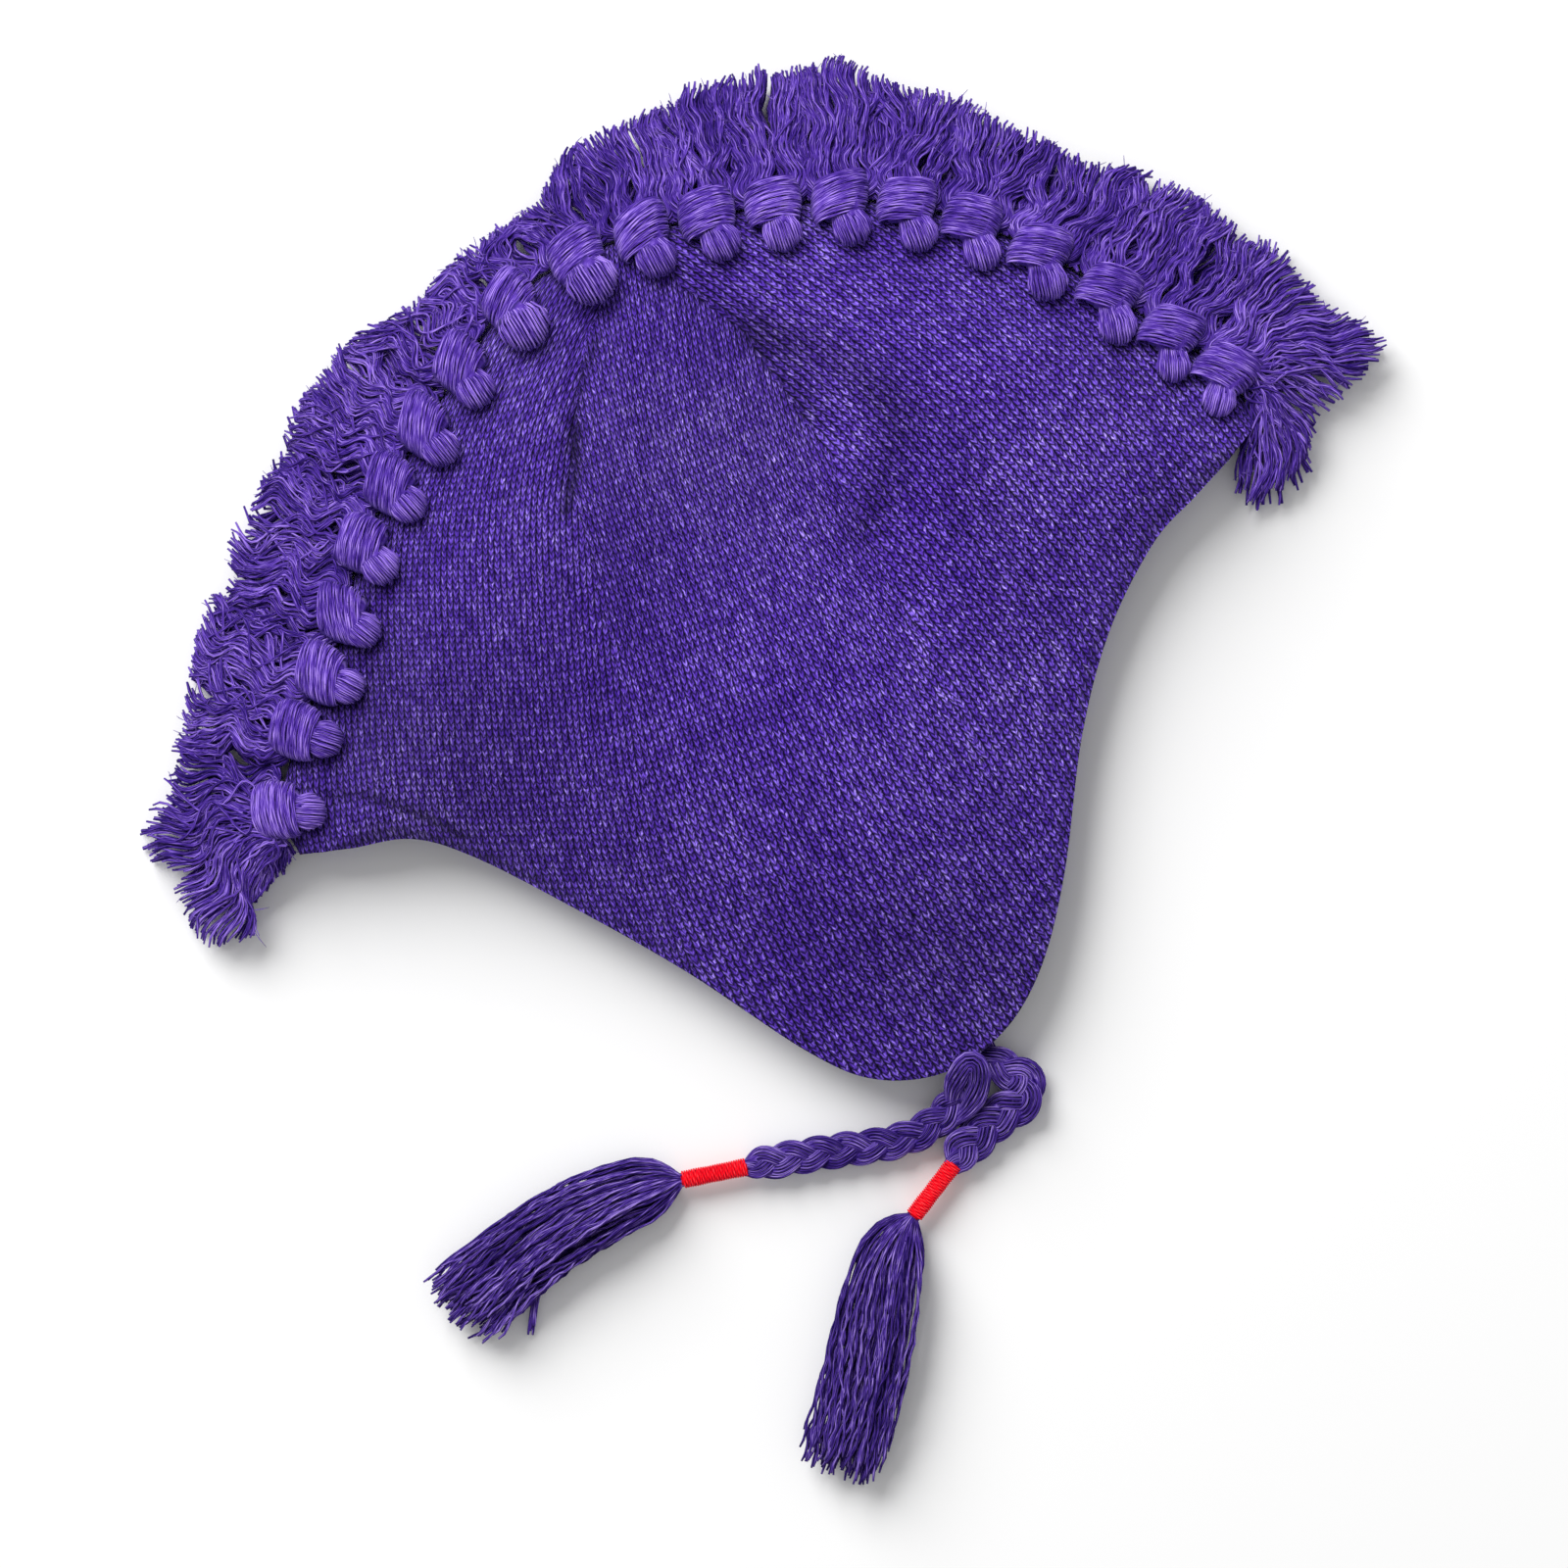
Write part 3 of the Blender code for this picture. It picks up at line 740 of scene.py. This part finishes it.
def build_knit(material):
    """The knit wall, finer than in the part, with its places counted in stitches."""
    sections = [knit_section(step / SECTIONS) for step in range(SECTIONS + 1)]
    points = np.array([rows for rows, _ in sections])
    flat = np.array([plan for _, plan in sections])
    near_side = points[:, : NEAR_ROWS + 1]
    near_side[..., 2] -= valley_depth(near_side[..., 0], near_side[..., 1])
    count = points.shape[1]
    i, j = np.meshgrid(np.arange(SECTIONS), np.arange(count - 1), indexing="ij")
    near_line, far_line = i * count + j, (i + 1) * count + j
    quads = np.stack([far_line, far_line + 1, near_line + 1, near_line], -1).reshape(-1, 4)
    body = new_mesh("knit", points.reshape(-1, 3), quads)
    x, y = flat[..., 0].ravel(), flat[..., 1].ravel()
    middle_x, middle_y = x[quads].mean(1), y[quads].mean(1)
    uv = wale_places(x, y, MIDDLE_LEAN, MIDDLE_WALE)[quads]
    left = middle_x < read_table(LEFT_SEAM, middle_y / MM)[0] * MM
    right = middle_x > read_table(RIGHT_SEAM, middle_y / MM)[0] * MM
    uv[left] = wale_places(x, y, LEFT_LEAN, LEFT_WALE)[quads[left]]
    uv[right] = wale_places(x, y, RIGHT_LEAN, RIGHT_WALE)[quads[right]]
    body.data.uv_layers.new(name="UVMap").data.foreach_set("uv", uv.ravel())
    # Painted shade along the lines of the table, kept on the points for the knit material.
    painted_shade = sum(dark * nearness(x, y, points, wide) for points, wide, dark in PAINTED_SHADE_LINES)
    body.data.attributes.new("painted_shade", "FLOAT", "POINT").data.foreach_set("value", np.clip(painted_shade, 0, 1))
    body.data.materials.append(material)
    wall = body.modifiers.new("wall", "SOLIDIFY")
    wall.thickness = WALL
    wall.offset = -1
    stand_in(body, "knit_body")


EDGE_LINE = at(np.array([(x, y, 0) for x, y in FRINGE_EDGE]) * MM, np.linspace(0, 1, 1500))


def edge_share(place):
    """How far along the fringe's edge the line straight out from a place on the ridge meets it."""
    base, out = at(RIDGE_LINE, place), ridge_normal(place)
    away = EDGE_LINE - base * (1, 1, 0)
    aside = np.abs(away[:, 0] * out[1] - away[:, 1] * out[0])
    aside[away @ out < 0] = 1
    return int(np.argmin(aside)) / (len(EDGE_LINE) - 1)


def tip_span(index):
    """The part of the fringe's edge where the yarns of this knot end, overlapping its neighbours'."""
    places = [row[0] for row in KNOTS]
    first = edge_share((places[index - 1] + places[index]) / 2) if index else 0.0
    last = edge_share((places[index] + places[index + 1]) / 2) if index + 1 < len(places) else 1.0
    lap = 0.008
    return max(first - lap, 0.0), min(last + lap, 1.0)


def fringe_yarn(root, out, span, across, layer, reach, flow, count):
    """One cut yarn of a fringe, from inside the band to its tip. Neighbours flow together."""
    flat_root = root * (1, 1, 0)
    side = np.array((out[1], -out[0], 0))
    start = flat_root + side * ROOT_SPREAD * (1.5 - 0.7 * layer) * (across - 0.5)
    tip = start + (at(EDGE_LINE, span[0] + (span[1] - span[0]) * across) - start) * reach
    far = np.linalg.norm(tip - start)
    bend = start + out * far * flow["straight"] + side * (across - 0.5) * 6 * MM
    t = np.linspace(0, 1, count)
    step = t[:, None]
    path = start * (1 - step) ** 2 + bend * 2 * step * (1 - step) + tip * step**2
    ahead = unit(np.gradient(path, axis=0))
    cross = np.stack([ahead[:, 1], -ahead[:, 0], np.zeros(count)], -1)
    thickness = np.interp(t, [0, 0.33, 0.68, 1], [0.5, 0.84, 0.9, 0.62]) * FRINGE_THICKNESS
    rounded = 1 - 0.3 * (2 * across - 1) ** 2
    from_band = max(root[2] - 6 * MM, 0) * (1 - t) ** 1.6
    path[:, 2] = 0.8 * MM + (thickness * rounded - 1.2 * MM) * layer + from_band
    run = t * far
    free = np.clip(t * 4 - 0.2, 0, 1)
    billow = np.sin(np.clip(t / 0.36, 0, 1) * math.pi) * (across - 0.5) * 5.5 * MM
    bow = flow["bow"] * np.sin(math.pi * t**0.8) * (1 + 0.35 * (2 * across - 1))
    drift = flow["drift"] * across
    slow = flow["slow"] * np.sin(run / flow["slow_wave"] * 2 * math.pi + flow["slow_phase"] + drift)
    crimp = run / flow["crimp_wave"] * 2 * math.pi + flow["crimp_phase"] + 2.2 * drift
    fine = run / flow["fine_wave"] * 2 * math.pi + flow["fine_phase"]
    sway = (slow + flow["crimp"] * np.sin(crimp) + 0.16 * MM * np.sin(fine)) * free
    path += cross * (billow + bow + sway)[:, None]
    lift = 0.55 * flow["crimp"] * np.cos(crimp + 0.6) + 0.12 * MM * np.cos(fine)
    path[:, 2] += (lift + flow["lift"] * np.sin(math.pi * t)) * free
    path[:, 2] = np.maximum(path[:, 2], 0.6 * MM)
    return path


def fringe_flow(rough):
    """How the yarns of one fringe bend together: a bow, a slow wave and a crimp."""
    return {
        "bow": RNG.choice([-1, 1]) * RNG.uniform(0.4, 1.0) * (0.7 + 2.6 * rough) * MM,
        "slow": RNG.uniform(0.8, 1.4) * (1 + 0.9 * rough) * MM,
        "slow_wave": RNG.uniform(22, 32) * (1 - 0.4 * rough) * MM,
        "slow_phase": RNG.uniform(0, 2 * math.pi),
        "crimp": RNG.uniform(0.34, 0.5) * (1 + 0.9 * rough) * MM,
        "crimp_wave": RNG.uniform(9, 12) * (1 - 0.2 * rough) * MM,
        "crimp_phase": RNG.uniform(0, 2 * math.pi),
        "drift": RNG.uniform(0.8, 2.2) * RNG.choice([-1, 1]),
        "longer": RNG.uniform(-0.07, 0.04),
    }


def stray_fibre(path):
    """A short hair that leaves a yarn somewhere along it."""
    place = RNG.integers(len(path) // 2, len(path) - 1)
    way = unit(path[place] - path[place - 1]) + RNG.normal(0, 0.6, 3) + (0, 0, 0.2)
    t = np.linspace(0, 1, 4)[:, None]
    hair = path[place] + unit(way) * RNG.uniform(1.5, 3.5) * MM * t + RNG.normal(0, 1.0, 3) * MM * t**2
    hair[:, 2] = np.maximum(hair[:, 2], 0.3 * MM)
    return hair


def own_flow(flow, layer, fan, rough):
    """How one yarn bends: a little off from its neighbours, and now and then quite its own way."""
    own = dict(flow)
    own["straight"] = 0.25 if fan else 0.4
    own["bow"] *= 0.15 + 0.85 * layer
    own["slow_phase"] += RNG.normal(0, 0.22) + 0.4 * layer
    own["crimp_phase"] += RNG.normal(0, 0.35) + 0.8 * layer
    own["fine_wave"] = RNG.uniform(3.8, 5.4) * MM
    own["fine_phase"] = RNG.uniform(0, 2 * math.pi)
    own["lift"] = 0.0
    if layer > SEEN_LAYERS and RNG.uniform() < 0.04 + 0.04 * rough:
        own["bow"] += RNG.uniform(-2.5, 2.5) * MM
        own["slow"] *= RNG.uniform(1.2, 2.4)
        own["slow_phase"] += RNG.uniform(-2, 2)
        own["lift"] = 1.3 * MM
    return own


class Knot:
    """One knotted bundle: where its ball and band sit on the folded ridge, and its yarns."""

    def __init__(self, index):
        self.index = index
        place, self.ball_share, lean = KNOTS[index]
        self.radius = BALL_RADIUS * self.ball_share
        band_foot, band_normal = fold_point(place, BAND_ANGLE)
        self.band_centre = band_foot + band_normal * (BAND_HALF_DEPTH + GAP)
        self.out = ridge_normal(place)
        self.side = np.array((self.out[1], -self.out[0], 0))
        self.band_normal = unit(band_normal + np.array((0, 0, 0.9)))
        reach = unit(np.cross(self.band_normal, self.side))
        self.reach = -reach if reach @ self.out < 0 else reach
        ball_foot, ball_normal = fold_point(place, BALL_ANGLE)
        shift = self.side * math.tan(math.radians(lean)) * np.linalg.norm(ball_foot - band_foot)
        self.ball_centre = ball_foot + ball_normal * (self.radius + 2 * GAP) + shift
        self.ball_out = unit(self.band_centre - self.ball_centre)
        self.ball_side = unit(np.cross(self.ball_out, ball_normal))
        self.ball_up = np.cross(self.ball_side, self.ball_out)
        self.yarns = Yarns(4, 1.7 * MM)

    def add_cores(self):
        """Plain middles of the ball and the band, which fill them behind their yarns."""
        core = np.linspace(-0.94, 0.94, 7)
        path = self.ball_centre + self.ball_out * self.radius * core[:, None]
        self.yarns.add(path, self.radius * np.sqrt(1 - core**2), 0.3, self.ball_side)
        for aside, full in ((-2.6 * MM, 0.84), (0, 0.95), (2.6 * MM, 0.84)):
            thick = BAND_HALF_DEPTH * full * (0.25 + 0.75 * np.sqrt(1 - (core * 0.84) ** 2))
            middle = self.band_centre + self.side * aside
            self.yarns.add(middle + self.reach * BAND_HALF_REACH * 0.86 * core[:, None], thick, 0.5)

    def add_ball(self):
        """Yarns round the ball, which run on into the band."""
        lighter = 0.25 if self.ball_share > BIG_BALL else 0
        arc = np.radians(np.linspace(-70, 80, 11))[:, None]
        ring = -self.ball_out * np.cos(arc) + self.ball_up * np.sin(arc)
        for number in range(BALL_YARNS):
            turn = math.pi * ((number + 0.5 + RNG.uniform(-0.2, 0.2)) / BALL_YARNS - 0.5) * 0.98
            wide = self.radius * (1.05 + RNG.uniform(-0.05, 0.05))
            aside = self.ball_side * wide
            path = self.ball_centre + aside * math.sin(turn) + ring * wide * math.cos(turn)
            tail = self.band_centre + aside * 0.5 * math.sin(turn) - self.band_normal * 0.8 * MM
            path = np.vstack([path, path[-1] * 0.6 + tail * 0.4, tail])
            self.yarns.add(path, BALL_YARN_RADIUS, RNG.uniform(0.45, 1.05) + lighter, self.ball_side)

    def add_band(self):
        """Yarns over the band, at a slant."""
        slant = RNG.uniform(0.1, 0.5)
        arc = np.radians(np.linspace(-30, 210, 17))[:, None]
        for number in range(BAND_YARNS):
            share = 2 * (number + 0.5) / BAND_YARNS - 1
            size = math.sqrt(1 - (share * 0.84) ** 2) * RNG.uniform(0.97, 1.03)
            path = (
                self.band_centre
                + self.reach * BAND_HALF_REACH * (share * 0.84 + slant * np.cos(arc) * (1 - abs(share) * 0.5))
                + self.side * BAND_HALF_LENGTH * (0.55 + 0.45 * size) * np.cos(arc)
                + self.band_normal * BAND_HALF_DEPTH * (0.25 + 0.75 * size) * np.sin(arc)
            )
            path = path + self.reach * 0.2 * MM * np.sin(arc * 2 + RNG.uniform(0, 6))
            self.yarns.add(path, RNG.uniform(0.33, 0.4) * MM, RNG.uniform(0.3, 0.95), self.reach)

    def add_fringe(self):
        """The cut yarns in their layers. The first and last knots fan out, with twice as many."""
        span = tip_span(self.index)
        fan = self.index in (0, len(KNOTS) - 1)
        front = self.index <= LAST_FRONT_KNOT
        rough = 0.6 if fan else 1.0 if front else 0.25
        bright = 1.0 if front or fan else 0.78
        flows = [fringe_flow(rough) for _ in range(3)]
        splits = sorted(RNG.uniform(0.15, 0.85, 2))
        for layer, count, steps in FRINGE_LAYERS:
            deep = max(0.5 - layer, 0)
            count *= 2 if fan else 1
            for number in range(count):
                across = (number + 0.5 + RNG.uniform(-0.42, 0.42)) / count
                flow = flows[0]
                if layer > SEEN_LAYERS:
                    flow = flows[int(np.searchsorted(splits, across + RNG.normal(0, 0.03)))]
                own = own_flow(flow, layer, fan, rough)
                reach = RNG.uniform(0.95, 1.05) - 0.05 * deep + own["longer"]
                height = layer + RNG.uniform(-0.08, 0.08) * layer
                path = fringe_yarn(self.band_centre, self.out, span, across, height, reach, own, steps)
                # Lower layers get darker tones: painted shade beneath the upper yarns.
                tone = RNG.uniform(0.1, 1.0) * (0.6 + 0.4 * layer) * bright
                self.yarns.add(path, (RNG.uniform(0.34, 0.42) + 0.8 * deep) * MM, tone, end=0.7)
                if layer > HAIRY_LAYERS:
                    self.yarns.add(stray_fibre(path), HAIR_RADIUS, 0.9)


def build_knot(index, material):
    """The ball, the band and the fringe of one knotted bundle, yarn by yarn."""
    knot = Knot(index)
    knot.add_cores()
    knot.add_ball()
    knot.add_band()
    knot.add_fringe()
    piece = knot.yarns.build(f"knot_yarns_{index + 1:02d}", material)
    stand_in(piece, f"knot_{index + 1:02d}")


def build_braid(name, node, route, lead_in, breadths, material):
    """Three strands of yarns plaited along the tie's route. Breadths: at its start, middle and end."""
    line = curve_through(np.array(route, float) * MM)
    length = lengths_between(line).sum()
    count = int(length / (0.8 * MM))
    route_line = at(line, np.linspace(0, 1, count))
    centre = np.vstack([np.array(lead_in, float) * MM, route_line, route_line[-1] * 3 - route_line[-2] * 2])
    run = run_along(centre)
    length_shown = run[-1]
    side, up = ways_off(centre)
    yarns = Yarns(4, 2.2 * MM)
    breadth = np.interp(run / length_shown, [0.1, 0.5, 0.7], breadths)
    slim = 1 - 0.55 * np.clip((run - length_shown + 6 * MM) / (5 * MM), 0, 1) ** 1.5
    for strand in range(3):
        turn = 2 * math.pi * (run / PLAIT_PITCH + strand / 3)
        sway = STRAND_SWING * breadth * np.sin(turn) * slim
        rise = STRAND_RISE * np.sin(2 * turn) * slim
        strand_line = centre + side * sway[:, None] + up * rise[:, None]
        strand_side, strand_up = ways_off(strand_line, up)
        for ring, number in BRAID_RINGS:
            for k in range(number):
                spin = 2 * math.pi * k / number + 0.3 * strand + 0.3 * run / (4 * MM)
                off_side = STRAND_HALF_WIDTH * breadth * ring * np.cos(spin) * slim
                off_up = STRAND_HALF_HEIGHT * ring * np.sin(spin) * slim
                path = strand_line + strand_side * off_side[:, None] + strand_up * off_up[:, None]
                yarns.add(path, BRAID_YARN_RADIUS, RNG.uniform(0.2, 0.85))
    for aside in (-2.2, 0.0, 2.2):
        yarns.add(centre + side * (aside * breadth * MM * slim)[:, None], 1.25 * MM * slim, 0.3)
    braid = yarns.build(name, material)
    stand_in(braid, node)
    [c * MM for c in route[0]]


def build_loop(material):
    """The strand that loops over the knit's edge where the near tie comes out."""
    line = curve_through(np.array(TIE_LOOP, float) * MM)
    centre = at(line, np.linspace(0, 1, 40))
    side, up = ways_off(centre)
    yarns = Yarns(4, 2.2 * MM)
    share = np.linspace(0, 1, 40)
    size = np.clip(np.minimum(share, 1 - share) / 0.25, 0.2, 1) ** 0.6
    for ring, number in LOOP_RINGS:
        for k in range(number):
            spin = 2 * math.pi * k / number + 1.6 * share
            across = LOOP_HALF_WIDTH * ring * size * np.cos(spin)
            rise = LOOP_HALF_HEIGHT * ring * size * np.sin(spin)
            path = centre + side * across[:, None] + up * rise[:, None]
            yarns.add(path, LOOP_YARN_RADIUS, RNG.uniform(0.2, 0.85))
    loop = yarns.build("tie_loop", material)
    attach(loop, "root")


def build_wrap(name, node, start, way, material):
    """Fine thread wound tightly round the end of the braid, over a plain core in the thread's darkest tone,
    which shows between the turns as painted shade.
    """
    side = unit(np.cross(np.array((0, 0, 1.0)), way))
    up = np.cross(way, side)
    turns = WRAP_LENGTH / THREAD
    angle = np.linspace(0, turns * 2 * math.pi, int(turns * 18))
    radius = WRAP_DIAMETER / 2 - THREAD * 0.4
    uneven = 1 + 0.02 * np.sin(angle / 9.0) + 0.015 * np.sin(angle / 23.0 + 1)
    path = (
        start
        + way * (THREAD / 2 + (WRAP_LENGTH - THREAD) * angle / angle[-1])[:, None]
        + (side * np.cos(angle)[:, None] + up * np.sin(angle)[:, None]) * (radius * uneven)[:, None]
    )
    yarns = Yarns(6, 0.9 * MM)
    yarns.add(path, THREAD * 0.4, 0.6, way)
    core = start + way * np.linspace(0, WRAP_LENGTH, 12)[:, None]
    # The core's dark tone is painted shade between the thread's turns.
    yarns.add(core, radius * 0.93, 0.0, side, end=0.9)
    wrap = yarns.build(name, material)
    stand_in(wrap, node)
    return wrap


def build_tassel(name, node, start, way, turns, material, stray):
    """A cut bundle of fine yarns that starts in a neck and lies on the floor."""
    level = unit(way * (1, 1, 0))
    steps = 60
    marks = np.linspace(0, 1.06, steps + 1)
    angle = np.radians(read_table(turns, marks)[0])
    heading = np.stack(
        [
            level[0] * np.cos(angle) - level[1] * np.sin(angle),
            level[0] * np.sin(angle) + level[1] * np.cos(angle),
            np.zeros(steps + 1),
        ],
        -1,
    )
    spine = start + np.vstack([np.zeros(3), np.cumsum(heading[:-1] * TASSEL_LENGTH * marks[1], axis=0)])
    yarns = Yarns(4, 1.6 * MM)
    for _ in range(TASSEL_YARNS):
        spot = math.sqrt(RNG.uniform(0, 1))
        spin = RNG.uniform(0, 2 * math.pi)
        across, layer = spot * math.cos(spin), spot * math.sin(spin)
        reach = RNG.uniform(0.91, 1.05) - 0.04 * across**2
        t = np.linspace(0.0, reach, 33)
        width, thick = read_table(TASSEL_SHAPE, t)
        place = np.stack([np.interp(t, marks, spine[:, k]) for k in range(3)], -1)
        ahead = unit(np.gradient(place, axis=0))
        side = np.stack([-ahead[:, 1], ahead[:, 0], np.zeros(len(t))], -1)
        clump = round(across * 3.2) / 3.2
        spread = across + (clump - across) * 0.12 * np.clip(t * 2 - 0.4, 0, 1)
        spread = np.clip(spread + RNG.normal(0, 0.3) * np.sin(t * RNG.uniform(1.5, 4.5)), -1, 1)
        half_height = TASSEL_THICKNESS * thick * (1 - 0.25 * across**2)
        hanging = 1 - np.array([smooth(s / 0.3) for s in t])
        lowest = half_height + 0.5 * MM
        middle = lowest + np.maximum(start[2] - lowest, 0) * hanging
        free = np.clip(t * 3 - 0.3, 0, 1)
        wave = RNG.uniform(7, 12) * MM
        phase = RNG.uniform(0, 2 * math.pi)
        run = t * TASSEL_LENGTH
        size = RNG.uniform(0.1, 0.45) * MM * free
        drift = RNG.normal(0, 0.6) * MM * t * free
        turn = run / wave * 2 * math.pi + phase
        aside = TASSEL_WIDTH * width * spread * 0.93 + drift + size * np.sin(turn)
        path = place + side * aside[:, None]
        path[:, 2] = middle + (half_height - 0.5 * MM) * layer + 0.7 * size * np.cos(turn)
        path[:, 2] = np.maximum(path[:, 2], 0.45 * MM)
        path = np.vstack([path[0] - way * 1.2 * MM, path])
        # Yarns lower in the bundle get darker tones: painted shade beneath the upper yarns.
        yarns.add(path, TASSEL_YARN_RADIUS, RNG.uniform(0, 0.95) * (0.6 + 0.4 * layer), end=0.7)
    for points in stray:
        line = curve_through(np.array(points, float) * MM)
        for _ in range(STRAY_YARNS):
            path = at(line, np.linspace(0, RNG.uniform(0.9, 1.0), 34))
            path = path + RNG.uniform(-0.9, 0.9, 3) * MM * np.linspace(0.6, 1, 34)[:, None]
            path[:, 2] = np.maximum(path[:, 2], 0.5 * MM)
            yarns.add(path, STRAY_YARN_RADIUS, RNG.uniform(0.1, 0.8), end=0.7)
    tassel = yarns.build(name, material)
    stand_in(tassel, node)
    return tassel


def soft_lamp(name, aim, place, size, power):
    """A round lamp that shines at the middle of the picture."""
    light = bpy.data.lights.new(name, "AREA")
    light.shape = "DISK"
    light.size = size
    light.energy = power
    lamp = bpy.data.objects.new(name, light)
    lamp.location = place
    lamp.rotation_mode = "QUATERNION"
    lamp.rotation_quaternion = (aim - place).to_track_quat("-Z", "Y")
    bpy.context.scene.collection.objects.link(lamp)
    return lamp


def lit_by(lamp, objects):
    """Only these objects take this lamp's light: one lamp models the hat, the other casts its long shadow."""
    group = bpy.data.collections.new(lamp.name + "_lights")
    for obj in objects:
        group.objects.link(obj)
    lamp.light_linking.receiver_collection = group


def light_and_camera():
    """A white table under a large soft light from the photograph's upper left, seen from straight above."""
    scene = bpy.context.scene
    scene.view_settings.view_transform = "Standard"
    world = bpy.data.worlds.new("room")
    world.use_nodes = True
    room = world.node_tree.nodes["Background"]
    room.inputs["Color"].default_value = (1, 1, 1, 1)
    room.inputs["Strength"].default_value = ROOM_LIGHT
    scene.world = world
    turn = math.radians(PHOTO_TURN)
    right = Vector((math.cos(turn), math.sin(turn), 0))
    up = Vector((-math.sin(turn), math.cos(turn), 0))
    aim = Vector((PHOTO_CENTRE[0], PHOTO_CENTRE[1], 0.01))
    window, low_window = (
        soft_lamp(name, aim, aim + right * aside + up * ahead + Vector((0, 0, above)), size, power)
        for name, aside, ahead, above, size, power in LAMPS
    )
    table = new_mesh(
        "table",
        np.array([(-3, -3, -0.0002), (3, -3, -0.0002), (3, 3, -0.0002), (-3, 3, -0.0002)]),
        np.array([(0, 1, 2, 3)]),
    )
    white = Material("white_table", 1.0)
    white.shader.inputs["Base Color"].default_value = (0.97, 0.97, 0.97, 1)
    white.shader.inputs["Specular IOR Level"].default_value = 0
    table.data.materials.append(white.made)
    lit_by(window, [obj for obj in scene.objects if obj.type == "MESH" and obj is not table])
    lit_by(low_window, [table])
    camera = bpy.data.cameras.new("camera")
    camera.sensor_width = SENSOR
    camera.lens = SENSOR * CAMERA_HEIGHT / PHOTO_WIDTH
    camera.clip_end = 20
    eye = bpy.data.objects.new("camera", camera)
    eye.location = aim + Vector((0, 0, CAMERA_HEIGHT))
    eye.rotation_euler = (0, 0, turn)
    scene.collection.objects.link(eye)
    scene.camera = eye


def main():
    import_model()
    build_knit(knit_material())
    knot_yarn = yarn_material("purple_fringe_yarn", (26, 8, 82), (80, 50, 152), (163, 131, 227))
    tie_yarn = yarn_material("purple_tie_yarn", (21, 5, 70), (73, 47, 139), (168, 142, 220))
    thread = yarn_material("red_thread", (165, 0, 10), (250, 4, 26), (255, 80, 84), 0.05 * MM, 2.0, 0.05)
    for index in range(len(KNOTS)):
        build_knot(index, knot_yarn)
    build_loop(tie_yarn)
    for side, route, lead_in, breadths, turns, stray in (
        ("near", NEAR_TIE, NEAR_LEAD_IN, (1.0, 1.0, 1.0), NEAR_TASSEL_TURN, [NEAR_STRAY]),
        ("far", FAR_BRAID, FAR_LEAD_IN, (0.85, 1.2, 1.25), FAR_TASSEL_TURN, []),
    ):
        line = curve_through(np.array(route, float) * MM)
        way = unit(line[-1] - line[-4])
        start = line[-1] + way * GAP
        wrap = build_wrap(f"wrap_thread_{side}", f"wrap_{side}", start, way, thread)
        end = start + way * (WRAP_LENGTH + GAP)
        tassel = build_tassel(f"tassel_yarns_{side}", f"tassel_{side}", end, way, turns, tie_yarn, stray)
        build_braid(f"braid_{side}", f"tie_{side}", route, lead_in, breadths, tie_yarn)
    light_and_camera()


main()
